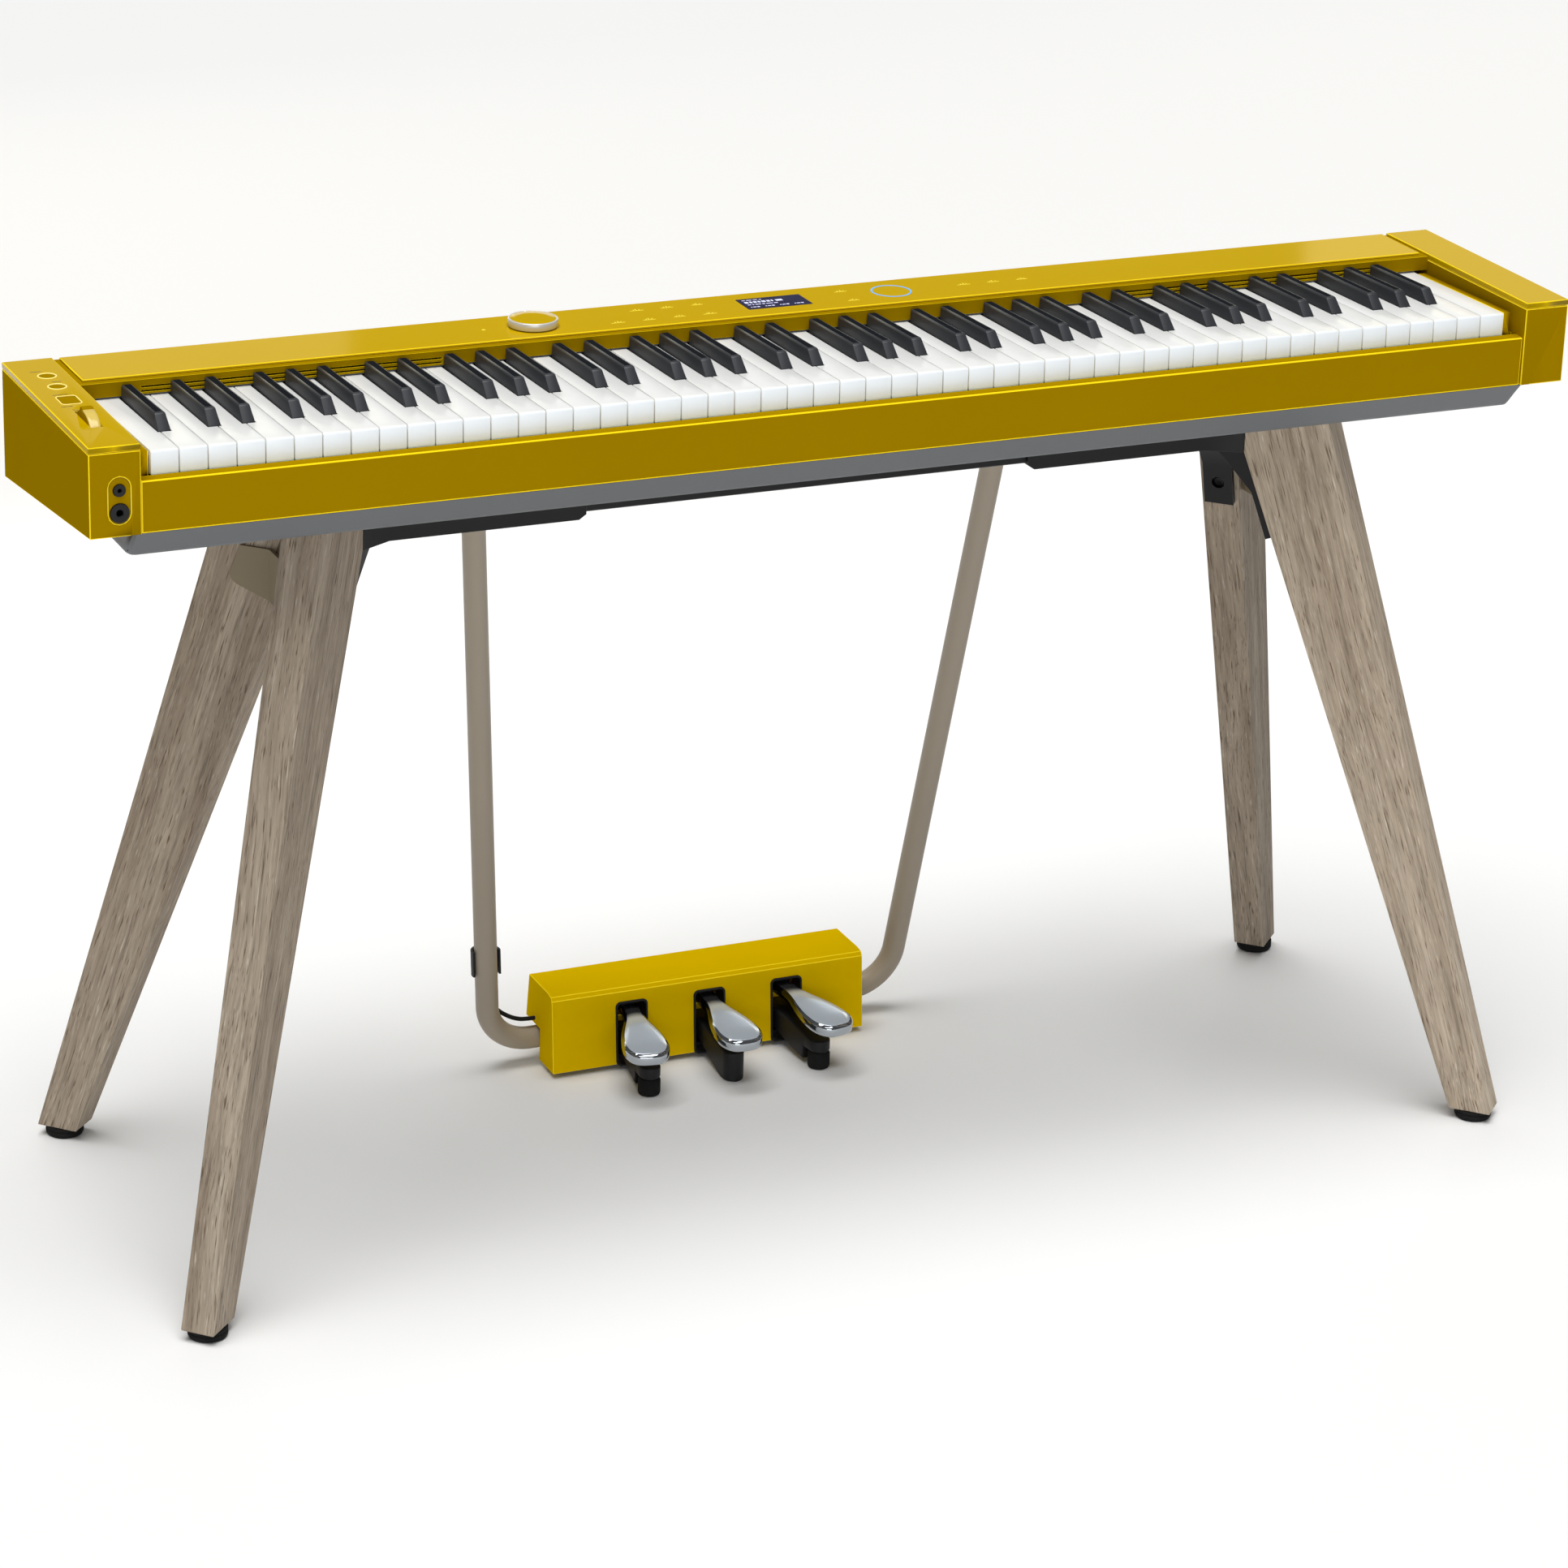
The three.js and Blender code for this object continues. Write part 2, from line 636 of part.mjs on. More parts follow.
// The left bracket: an arm under the case, and a strap with a web down each leg's inner edge.
function bracket() {
  const clear = gap + 0.1;
  const inner = legInner.knee + clear;
  const [outX, outY] = fromLegPlane(inner, legFace - legThickTop + 2);
  const [inX, inY] = fromLegPlane(inner, legFace - 2);
  const w = arm.halfWidth;
  const block = plate([
    [-arm.end, -w], [-arm.end, w], [-arm.flare, w], [outX, -outY], [inX, -inY],
    [inX, inY], [outX, outY], [-arm.flare, -w],
  ], arm.bottom, standTop - gap);
  const chamfer = alongY([[-arm.end - 8, arm.bottom - 1], [-arm.end + 1, arm.bottom - 1],
    [-arm.end + 1, arm.bottom + 5]], -w - 1, w + 1);
  const pocket = box(-arm.flare + 6, -arm.end - 12, -w + 3, w - 3, arm.bottom - 1, standTop - 4);
  const low = innerEdge(strap.bottom) + clear;
  const t = legFace - legThickTop / 2 + 0.5;
  const outline = [
    [inner, legKneeZ + 20], [inner, legKneeZ], [low, strap.bottom],
    [low + strap.thick - 0.5, strap.bottom - 2.4], [low + strap.thick + 15, strap.bottom + 39],
    [inner + 14, legKneeZ - 14], [inner + 24, legKneeZ - 4], [inner + 38, legKneeZ + 1],
    [inner + 38, legKneeZ + 20],
  ];
  const web = inLegPlane(outline, t - strap.halfWidth, t + strap.halfWidth);
  const hole = new THREE.CylinderGeometry(strap.holeRadius, strap.holeRadius, 60, 20).rotateZ(-Math.PI / 4);
  const [hx, hy] = fromLegPlane(innerEdge(strap.hole), t);
  hole.translate(hx, hy, strap.hole);
  return cut(join(block, web, mirrorY(web)), chamfer, pocket, hole, mirrorY(hole));
}

// The folded cover plate of the left leg pair: a wing on each outer face, and a panel across.
function coverPlate() {
  const thick = 2.5;
  const top = 583;
  const low = 537.5;
  const fold = -354;
  const outline = [
    [fold, low], [-357, low + 0.8], [-386, low + 11], [-390.8, low + 14.5], [-392.4, low + 19],
    [-382.5, top], [fold, top],
  ];
  const face = legFace + gap;
  const wing = inLegPlane(outline, face, face + thick);
  const [x, y] = fromLegPlane(fold - 1, face + thick / 2);
  const panel = box(x - thick / 2, x + thick / 2, y, -y, low, top);
  return join(wing, mirrorY(wing), panel);
}

const legPlaces = [
  ['front_left', (g) => g],
  ['rear_left', mirrorY],
  ['front_right', mirrorX],
  ['rear_right', (g) => mirrorX(mirrorY(g))],
];
for (const [place, put] of legPlaces) {
  add(piano, `${place}_leg`, put(leg()), wood);
  add(piano, `${place}_foot`, put(foot()), rubber);
}
add(piano, 'left_bracket', bracket(), blackSteel);
add(piano, 'right_bracket', mirrorX(bracket()), blackSteel);
add(piano, 'cross_bar', box(-arm.end + 0.4, arm.end - 0.4, -22, 22, 608, standTop - gap), blackSteel);
add(piano, 'left_cover_plate', coverPlate(), tan);
add(piano, 'right_cover_plate', mirrorX(coverPlate()), tan);

// ---------------------------------------------------------------- pedal unit
const tubeLow = { x: 201.5, y: 202.8, z: 23.5 };
const tubeHigh = { x: 254.5, y: 118, z: 622 };
const pedalBoxHalf = 155.5;
const pedalBoxTop = 79.5;
const frontWallY = 160;
const pedalSplay = 11.1 * Math.PI / 180;
const supportSplay = 6.6 * Math.PI / 180;
const pedalAxis = { y: 205, z: 55.5 };
const adjuster = { x: 84.6, y: 99, radius: 10.3, height: 16.6 };
const cableHole = { y: 203, z: 42.2 };
const cableRadius = 2;

function supportTube() {
  const end = [tubeHigh.x, arm.halfWidth + 0.5, tubeHigh.z];
  const high = [tubeHigh.x, tubeHigh.y, tubeHigh.z];
  const low = [tubeLow.x, tubeLow.y, tubeLow.z];
  const flip = ([x, y, z]) => [-x, y, z];
  return tubeAlong([flip(end), flip(high), flip(low), low, high, end], tubeRadius, 44, 12, 6);
}

function pedalBox() {
  const outer = alongX([
    [191, 5], [191, 36.3], [225.4, 36.3], [219, pedalBoxTop], [170, pedalBoxTop],
    [165.2, 78], [162.6, 74.5], [161.9, 70], [156.4, 5],
  ].reverse(), -pedalBoxHalf, pedalBoxHalf);
  const hollow = alongX([
    [187.8, 3], [187.8, 39.5], [221.6, 39.5], [215.8, pedalBoxTop - 3.2], [168, pedalBoxTop - 3.2],
    [165, 69.5], [159.5, 3],
  ].reverse(), -pedalBoxHalf + 3.2, pedalBoxHalf - 3.2);
  const tools = [hollow];
  for (const side of [-1, 0, 1]) {
    tools.push(alongY(roundedRect(30.5, 80, 4, side * pedalPitch, 64.5 - 40), 150, 172));
  }
  tools.push(alongX(circle(2.5, cableHole.y, cableHole.z, 12), -pedalBoxHalf - 1, -pedalBoxHalf + 5));
  return cut(outer, ...tools);
}

// Turn a piece that was made straight about the middle of its opening.
function splayed(geometry, side, angle) {
  return geometry.translate(0, -frontWallY, 0).rotateZ(side * angle)
    .translate(side * pedalPitch, frontWallY, 0);
}

function pedal(side) {
  const neck = 10.5;
  const tip = 20.5;
  const tipY = 71;
  const shape = new THREE.Shape();
  shape.moveTo(neck, frontWallY + 12);
  shape.lineTo(-neck, frontWallY + 12);
  shape.lineTo(-neck, frontWallY - 6);
  shape.bezierCurveTo(-neck, 132, -tip, 118, -tip, 92);
  shape.bezierCurveTo(-tip, 78, -tip + 8, tipY, 0, tipY);
  shape.bezierCurveTo(tip - 8, tipY, tip, 78, tip, 92);
  shape.bezierCurveTo(tip, 118, neck, 132, neck, frontWallY - 6);
  const tilt = 4 * Math.PI / 180;
  const blade = plate(shape, -4.6, 4.6).translate(0, -tipY, 0).rotateX(tilt)
    .translate(0, tipY, 47);
  const lever = box(-7, 7, frontWallY + 8, pedalAxis.y + 8, pedalAxis.z - 5.5, pedalAxis.z + 5.5);
  return join(splayed(blade, side, pedalSplay), splayed(lever, side, 0));
}

function pedalBase() {
  const frame = box(-150, 150, 165.4, 186.5, 6, 10.5);
  const sole = [[186, 6], [186, 26], [frontWallY, 34], [88.7, 28]];
  const outer = [...sole, [88.7, 17.2], [110.8, 17.2], [110.8, 5], [frontWallY, 5]];
  const middle = [...sole, [88.7, 2.5], [91.5, 0], [107, 0], [113, 2.5], [frontWallY, 6]];
  const supports = [-1, 0, 1].map((side) => {
    const profile = side === 0 ? middle : outer;
    return splayed(alongX([...profile].reverse(), -10, 10), side, supportSplay);
  });
  return join(frame, ...supports);
}

function adjusterFoot(side) {
  return turned([
    [0, 0], [9, 0], [adjuster.radius, 1.6], [adjuster.radius, adjuster.height], [0, adjuster.height],
  ], side * adjuster.x, adjuster.y, 20);
}

// Distance of the cable behind the tube, square to the tube.
const cableOffset = tubeRadius + cableRadius + 0.8;

function behindTube(z) {
  const share = (z - tubeLow.z) / (tubeHigh.z - tubeLow.z);
  const x = tubeLow.x + share * (tubeHigh.x - tubeLow.x);
  const y = tubeLow.y + share * (tubeHigh.y - tubeLow.y);
  return [-x, y + cableOffset, z];
}

function pedalCable() {
  const backY = bodyDepth - standMiddle;
  const plugZ = bodyLift + pedalSocket.z;
  const route = [
    [-pedalBoxHalf + 6, cableHole.y, cableHole.z],
    [-pedalBoxHalf - 16, cableHole.y, cableHole.z],
    [-tubeLow.x - 2, tubeLow.y + cableOffset - 2, 62],
    behindTube(110),
    behindTube(560),
    [pedalSocket.x, 140, 612],
    [pedalSocket.x, 140, plugZ],
    [pedalSocket.x, backY + 20, plugZ],
  ];
  const lead = tubeAlong(route, cableRadius, 10, 8, 3);
  const grip = box(pedalSocket.x - 9, pedalSocket.x + 9, backY + 0.5, backY + 23, plugZ - 5, plugZ + 5);
  const tip = box(pedalSocket.x - 5.5, pedalSocket.x + 5.5, backY - 6, backY + 1,
    plugZ - 2, plugZ + 2);
  return join(lead, grip, tip);
}

// A spring clip that holds the cable to the back of the left tube, and leans with it.
function cableClip() {
  const middle = 111;
  const half = 13;
  const [x, y] = behindTube(middle);
  const centreY = y - cableOffset;
  const inner = tubeRadius + 1.2;
  const [from, to] = [-Math.PI * 0.08, Math.PI * 1.08];
  const band = [...arc(0, 0, inner + 2, from, to, 20), ...arc(0, 0, inner - 0.2, to, from, 20)];
  const keeper = plate(circle(5.2, 0, cableOffset, 16), -half, half);
  const leadWay = plate(circle(cableRadius + 1, 0, cableOffset, 10), -half - 1, half + 1);
  const tubeWay = plate(circle(inner, 0, 0, 28), -half - 1, half + 1);
  const rise = tubeHigh.z - tubeLow.z;
  const lean = new THREE.Matrix4().set(
    1, 0, (tubeLow.x - tubeHigh.x) / rise, x,
    0, 1, (tubeHigh.y - tubeLow.y) / rise, centreY,
    0, 0, 1, middle,
    0, 0, 0, 1);
  return cut(join(plate(band, -half, half), keeper), leadWay, tubeWay).applyMatrix4(lean);
}

add(piano, 'support_tube', supportTube(), taupe);
add(piano, 'pedal_box', pedalBox(), mustard);
add(piano, 'pedal_base', pedalBase(), darkPlastic);
const pedalNames = { '-1': 'left_pedal', 0: 'middle_pedal', 1: 'right_pedal' };
for (const side of [-1, 0, 1]) {
  add(piano, pedalNames[side], pedal(side), chrome);
}
add(piano, 'left_adjuster', adjusterFoot(-1), rubber);
add(piano, 'right_adjuster', adjusterFoot(1), rubber);
add(piano, 'pedal_cable', pedalCable(), rubber);
add(piano, 'cable_clip', cableClip(), darkPlastic);

export default piano;
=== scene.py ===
"""Digital piano on a four-legged stand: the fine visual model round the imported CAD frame.

Lengths are in metres in the row frame: +X to the player's right, +Y away from the player, +Z up.
"""
import json
import math

import bmesh
import bpy
from mathutils import Matrix, Vector


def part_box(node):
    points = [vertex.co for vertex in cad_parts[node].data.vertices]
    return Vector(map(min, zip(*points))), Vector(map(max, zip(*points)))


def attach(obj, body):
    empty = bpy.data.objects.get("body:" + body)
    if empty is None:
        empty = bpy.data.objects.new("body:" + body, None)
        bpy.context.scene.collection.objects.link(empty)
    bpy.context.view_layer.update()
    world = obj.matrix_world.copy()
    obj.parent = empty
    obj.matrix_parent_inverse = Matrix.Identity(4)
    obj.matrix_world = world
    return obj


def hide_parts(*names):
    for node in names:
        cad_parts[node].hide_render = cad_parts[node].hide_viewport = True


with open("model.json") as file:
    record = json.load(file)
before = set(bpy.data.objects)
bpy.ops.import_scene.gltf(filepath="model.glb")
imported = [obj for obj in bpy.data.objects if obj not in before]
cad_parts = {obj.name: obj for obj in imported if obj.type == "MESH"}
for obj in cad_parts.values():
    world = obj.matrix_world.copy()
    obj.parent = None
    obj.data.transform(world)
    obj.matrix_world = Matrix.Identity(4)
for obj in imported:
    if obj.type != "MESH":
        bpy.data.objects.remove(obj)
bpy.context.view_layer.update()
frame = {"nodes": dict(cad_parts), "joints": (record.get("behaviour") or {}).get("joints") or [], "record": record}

MM = 0.001
CLOSE = 1e-6                                    # points nearer than this are one
MAIN = "frame"                                  # the CAD body that stands still
JOINTS = {joint["name"]: joint for joint in frame["joints"]}


# ---------------------------------------------------------------- camera, light and floor
CAMERA_PLACE = (-1.707, -3.7002, 1.9355)
CAMERA_TURN = (-24.70, 21.53, 1.87)             # azimuth, elevation and roll in degrees
SENSOR, LENS = 36, 114.91                       # in millimetres
BACKDROP_LIGHT, BACKDROP_SEEN = 0.07, 0.95      # the world as the object and as the camera see it
SUN_POWER, SUN_SPREAD, SUN_AIM = 3.3, 50, (0.10, 0.13, -1)
FLOOR_REACH = 14


def make_camera():
    azimuth, elevation, roll = (math.radians(a) for a in CAMERA_TURN)
    ahead = Vector((-math.sin(azimuth) * math.cos(elevation),
                    math.cos(azimuth) * math.cos(elevation), -math.sin(elevation)))
    level = ahead.cross(Vector((0, 0, 1))).normalized()
    over = level.cross(ahead)
    right = math.cos(roll) * level + math.sin(roll) * over
    up = -math.sin(roll) * level + math.cos(roll) * over
    data = bpy.data.cameras.new("camera")
    data.sensor_width = SENSOR
    data.lens = LENS
    data.clip_start, data.clip_end = 0.1, 60
    camera = bpy.data.objects.new("camera", data)
    turn = Matrix((right, up, -ahead)).transposed().to_4x4()
    camera.matrix_world = Matrix.Translation(CAMERA_PLACE) @ turn
    bpy.context.scene.collection.objects.link(camera)
    bpy.context.scene.camera = camera


def area_light(name, place, target, width, height, power, color=(1, 1, 1)):
    data = bpy.data.lights.new(name, "AREA")
    data.shape = "RECTANGLE"
    data.size, data.size_y = width, height
    data.energy = power
    data.color = color
    light = bpy.data.objects.new(name, data)
    light.location = place
    light.rotation_euler = (Vector(target) - Vector(place)).to_track_quat("-Z", "Y").to_euler()
    light.visible_camera = False
    bpy.context.scene.collection.objects.link(light)


def make_world():
    """A pale backdrop to the camera that lights the object only a little."""
    world = bpy.data.worlds.new("studio")
    world.use_nodes = True
    tree = world.node_tree
    rays = tree.nodes.new("ShaderNodeLightPath")
    strength = tree.nodes.new("ShaderNodeMapRange")
    strength.inputs["To Min"].default_value = BACKDROP_LIGHT
    strength.inputs["To Max"].default_value = BACKDROP_SEEN
    tree.links.new(rays.outputs["Is Camera Ray"], strength.inputs["Value"])
    backdrop = tree.nodes["Background"]
    backdrop.inputs["Color"].default_value = (1, 1, 1, 1)
    tree.links.new(strength.outputs["Result"], backdrop.inputs["Strength"])
    bpy.context.scene.world = world


def make_studio():
    make_world()
    bpy.context.scene.view_settings.view_transform = "Standard"
    data = bpy.data.lights.new("overhead", "SUN")
    data.energy = SUN_POWER
    data.angle = math.radians(SUN_SPREAD)
    sun = bpy.data.objects.new("overhead", data)
    sun.rotation_euler = Vector(SUN_AIM).to_track_quat("-Z", "Y").to_euler()
    bpy.context.scene.collection.objects.link(sun)
    # The glossy lids and the left of the panel mirror the back card, and the pedals the low one.
    area_light("back_card", (-0.3, 4.0, 1.5), (-0.3, 0, 1.5), 2.6, 1.16, 7.0, (1.0, 0.88, 0.5))
    area_light("low_card", (0.8, 2.0, 0.92), (0.8, 0, 0.92), 2.6, 0.62, 7.5, (0.93, 0.97, 1.0))
    area_light("front_fill", (-1.4, -4.6, 1.0), (0, 0, 0.4), 3.2, 1.6, 52)
    area_light("right_card", (3.3, 4, 2.0), (2.0, 0, 0.9), 0.8, 1.3, 3.4, (1.0, 0.86, 0.45))


def make_floor():
    data = bpy.data.meshes.new("floor")
    corners = [(x, y, 0) for x, y in rectangle(-FLOOR_REACH, FLOOR_REACH, -FLOOR_REACH, FLOOR_REACH)]
    data.from_pydata(corners, [], [(0, 1, 2, 3)])
    floor = bpy.data.objects.new("floor", data)
    bpy.context.scene.collection.objects.link(floor)
    paint, tree, shader = blank_material("floor_paint", (0.86, 0.86, 0.855), 0.7)
    grain = add_node(tree, "ShaderNodeTexNoise", {"Scale": 1.4, "Detail": 2})
    link_bump(tree, shader, grain.outputs["Fac"], 0.02, 0.002)
    data.materials.append(paint)


# ---------------------------------------------------------------- material helpers
def blank_material(name, color, roughness, **sockets):
    paint = bpy.data.materials.new(name)
    paint.use_nodes = True
    tree = paint.node_tree
    shader = tree.nodes["Principled BSDF"]
    shader.inputs["Base Color"].default_value = (*color, 1)
    shader.inputs["Roughness"].default_value = roughness
    for socket, value in sockets.items():
        shader.inputs[socket.replace("_", " ")].default_value = value
    return paint, tree, shader


def add_node(tree, kind, inputs=None, **properties):
    made = tree.nodes.new(kind)
    for key, value in properties.items():
        setattr(made, key, value)
    for key, value in (inputs or {}).items():
        if isinstance(value, bpy.types.NodeSocket):
            tree.links.new(value, made.inputs[key])
        else:
            made.inputs[key].default_value = value
    return made


def link_color(tree, shader, color):
    tree.links.new(color, shader.inputs["Base Color"])


def link_gloss(tree, shader, pattern, least, most):
    gloss = add_node(tree, "ShaderNodeMapRange", {"Value": pattern, "To Min": least, "To Max": most})
    tree.links.new(gloss.outputs["Result"], shader.inputs["Roughness"])


def link_bump(tree, shader, height, strength, distance):
    bump = add_node(tree, "ShaderNodeBump", {"Height": height, "Strength": strength, "Distance": distance})
    tree.links.new(bump.outputs["Normal"], shader.inputs["Normal"])


def mapped(tree, vector, scale=(1, 1, 1), rotation=(0, 0, 0), shift=(0, 0, 0)):
    return add_node(tree, "ShaderNodeMapping", {
        "Vector": vector, "Scale": scale, "Rotation": rotation, "Location": shift}).outputs["Vector"]


def object_coords(tree, **placing):
    return mapped(tree, add_node(tree, "ShaderNodeTexCoord").outputs["Object"], **placing)


def noise(tree, vector, scale, detail=2.0, roughness=0.5):
    return add_node(tree, "ShaderNodeTexNoise", {
        "Vector": vector, "Scale": scale, "Detail": detail, "Roughness": roughness}).outputs["Fac"]


def ramp(tree, factor, stops):
    made = add_node(tree, "ShaderNodeValToRGB", {"Fac": factor})
    elements = made.color_ramp.elements
    while len(elements) < len(stops):
        elements.new(0.5)
    for element, (position, value) in zip(elements, stops):
        color = value if isinstance(value, tuple) else (value, value, value)
        element.position = position
        element.color = (*color, 1)
    return made.outputs["Color"]


def mix_colors(tree, factor, a, b, blend="MIX"):
    inputs = {key: (*value, 1) if isinstance(value, tuple) else value
              for key, value in ((0, factor), (6, a), (7, b))}
    return add_node(tree, "ShaderNodeMix", inputs, data_type="RGBA", blend_type=blend).outputs[2]


def scaled(color, share):
    return tuple(min(1, c * share) for c in color)


def moulded(name, color, roughness, shine=0.5, variation=0.04, grain=2600, bump=0.05, cloud=9.0, glow=None):
    """Moulded plastic or paint: faint clouds in the colour, a fine spark texture and uneven gloss; a glow, where
    given, is painted light.
    """
    paint, tree, shader = blank_material(name, color, roughness, Specular_IOR_Level=shine)
    coords = object_coords(tree)
    clouds = noise(tree, coords, cloud, 3)
    shade = mix_colors(tree, clouds, scaled(color, 1 - variation), scaled(color, 1 + variation))
    link_color(tree, shader, shade)
    link_gloss(tree, shader, clouds, roughness * 0.88, roughness * 1.14)
    link_bump(tree, shader, noise(tree, coords, grain, 2), bump, 0.0003)
    if glow:
        *light, strength = glow
        shader.inputs["Emission Color"].default_value = (*light, 1)
        shader.inputs["Emission Strength"].default_value = strength
    return paint


def oak(name, rotation, shift, painted_light_tone):
    """Grey-brown oak, with its grain along the leg: broad bands, fibres, dark pores and pale flecks, all scaled by
    a painted light tone.
    """
    paint, tree, shader = blank_material(name, (0.3, 0.25, 0.19), 0.66, Specular_IOR_Level=0.2)
    turned_coords = object_coords(tree, rotation=rotation, shift=shift)
    wander = noise(tree, mapped(tree, turned_coords, (3.0, 3.0, 1.6)), 2.0, 2)
    sway = mix_colors(tree, wander, (0, 0, 0), (0.03, 0.02, 0))
    swayed = add_node(tree, "ShaderNodeVectorMath", {0: turned_coords, 1: sway}, operation="ADD").outputs[0]

    def stretched(across, along):
        return mapped(tree, swayed, (across, across, along))

    bands = noise(tree, stretched(52, 1.5), 1.0, 4, 0.6)
    color = ramp(tree, bands, [(position, scaled(shade, painted_light_tone)) for position, shade in (
        (0.28, (0.215, 0.165, 0.118)), (0.44, (0.300, 0.242, 0.182)),
        (0.58, (0.365, 0.302, 0.232)), (0.74, (0.450, 0.382, 0.302)))])
    fibres = noise(tree, stretched(430, 14), 1.0, 3, 0.7)
    streaks = ramp(tree, fibres, [(0.30, 0.52), (0.46, 0.88), (0.58, 1.0), (0.72, 1.22)])
    color = mix_colors(tree, 0.9, color, streaks, "MULTIPLY")
    pores = noise(tree, stretched(760, 42), 1.0, 2, 0.55)
    pits = ramp(tree, pores, [(0.30, 1.0), (0.41, 0.0)])
    color = mix_colors(tree, pits, color, scaled((0.125, 0.088, 0.058), painted_light_tone))
    flecks = ramp(tree, pores, [(0.63, 0.0), (0.74, 0.55)])
    color = mix_colors(tree, flecks, color, scaled((0.62, 0.55, 0.46), painted_light_tone))
    link_color(tree, shader, color)
    relief = mix_colors(tree, 0.6, fibres, ramp(tree, pores, [(0.30, 0.0), (0.44, 1.0)]))
    link_bump(tree, shader, relief, 0.5, 0.0005)
    return paint


def brushed_metal(name, color, roughness, streak_scale, metallic=1.0):
    paint, tree, shader = blank_material(name, color, roughness, Metallic=metallic)
    streaks = noise(tree, object_coords(tree, scale=streak_scale), 1.0, 3)
    link_gloss(tree, shader, streaks, roughness * 0.75, roughness * 1.3)
    link_color(tree, shader, mix_colors(tree, streaks, scaled(color, 0.95), color))
    link_bump(tree, shader, streaks, 0.02, 0.0001)
    return paint


def plated_with_painted_reflection(name, metallic, roughness, reflection_light_end, reflection_dark_end, color):
    """The pedals' plating, bright at the toe, with a painted dark reflection that takes it to near black at the
    neck (y in millimetres).
    """
    paint, tree, shader = blank_material(name, color, roughness, Metallic=metallic)
    coords = object_coords(tree)
    parts = add_node(tree, "ShaderNodeSeparateXYZ", {"Vector": coords})
    painted_reflection_fade = add_node(tree, "ShaderNodeMapRange", {
        "Value": parts.outputs["Y"], "From Min": reflection_light_end * MM, "From Max": reflection_dark_end * MM},
        interpolation_type="SMOOTHSTEP")
    haze = noise(tree, coords, 60, 3)
    bright = mix_colors(tree, haze, scaled(color, 0.96), scaled(color, 1.04))
    link_color(tree, shader, mix_colors(tree, painted_reflection_fade.outputs["Result"], bright, (0.03, 0.031, 0.034)))
    link_bump(tree, shader, noise(tree, coords, 900, 2), 0.004, 0.0001)
    return paint


def felt_cloth():
    paint, tree, shader = blank_material("felt_cloth", (0.06, 0.065, 0.095), 0.95, Sheen_Weight=0.5)
    fuzz = noise(tree, object_coords(tree), 1500, 4, 0.7)
    link_color(tree, shader, mix_colors(tree, fuzz, (0.035, 0.038, 0.055), (0.10, 0.108, 0.15)))
    link_bump(tree, shader, fuzz, 0.6, 0.0006)
    return paint


def lit(name, color, strength):
    """A glowing mark: a translucent marking with a light behind it, and on the buttons' rings a painted highlight.
    """
    paint, tree, shader = blank_material(name, color, 0.35, Emission_Strength=strength)
    glow = noise(tree, object_coords(tree), 220, 2)
    shade = mix_colors(tree, glow, scaled(color, 0.92), color)
    link_color(tree, shader, shade)
    tree.links.new(shade, shader.inputs["Emission Color"])
    return paint


def circuit_board():
    paint, tree, shader = blank_material("circuit_board", (0.02, 0.1, 0.04), 0.45)
    cells = add_node(tree, "ShaderNodeTexVoronoi", {
        "Vector": object_coords(tree), "Scale": 160.0}, distance="MANHATTAN").outputs["Distance"]
    link_color(tree, shader, ramp(tree, cells, [(0.30, (0.012, 0.07, 0.03)), (0.36, (0.03, 0.15, 0.06))]))
    link_bump(tree, shader, cells, 0.2, 0.0002)
    return paint


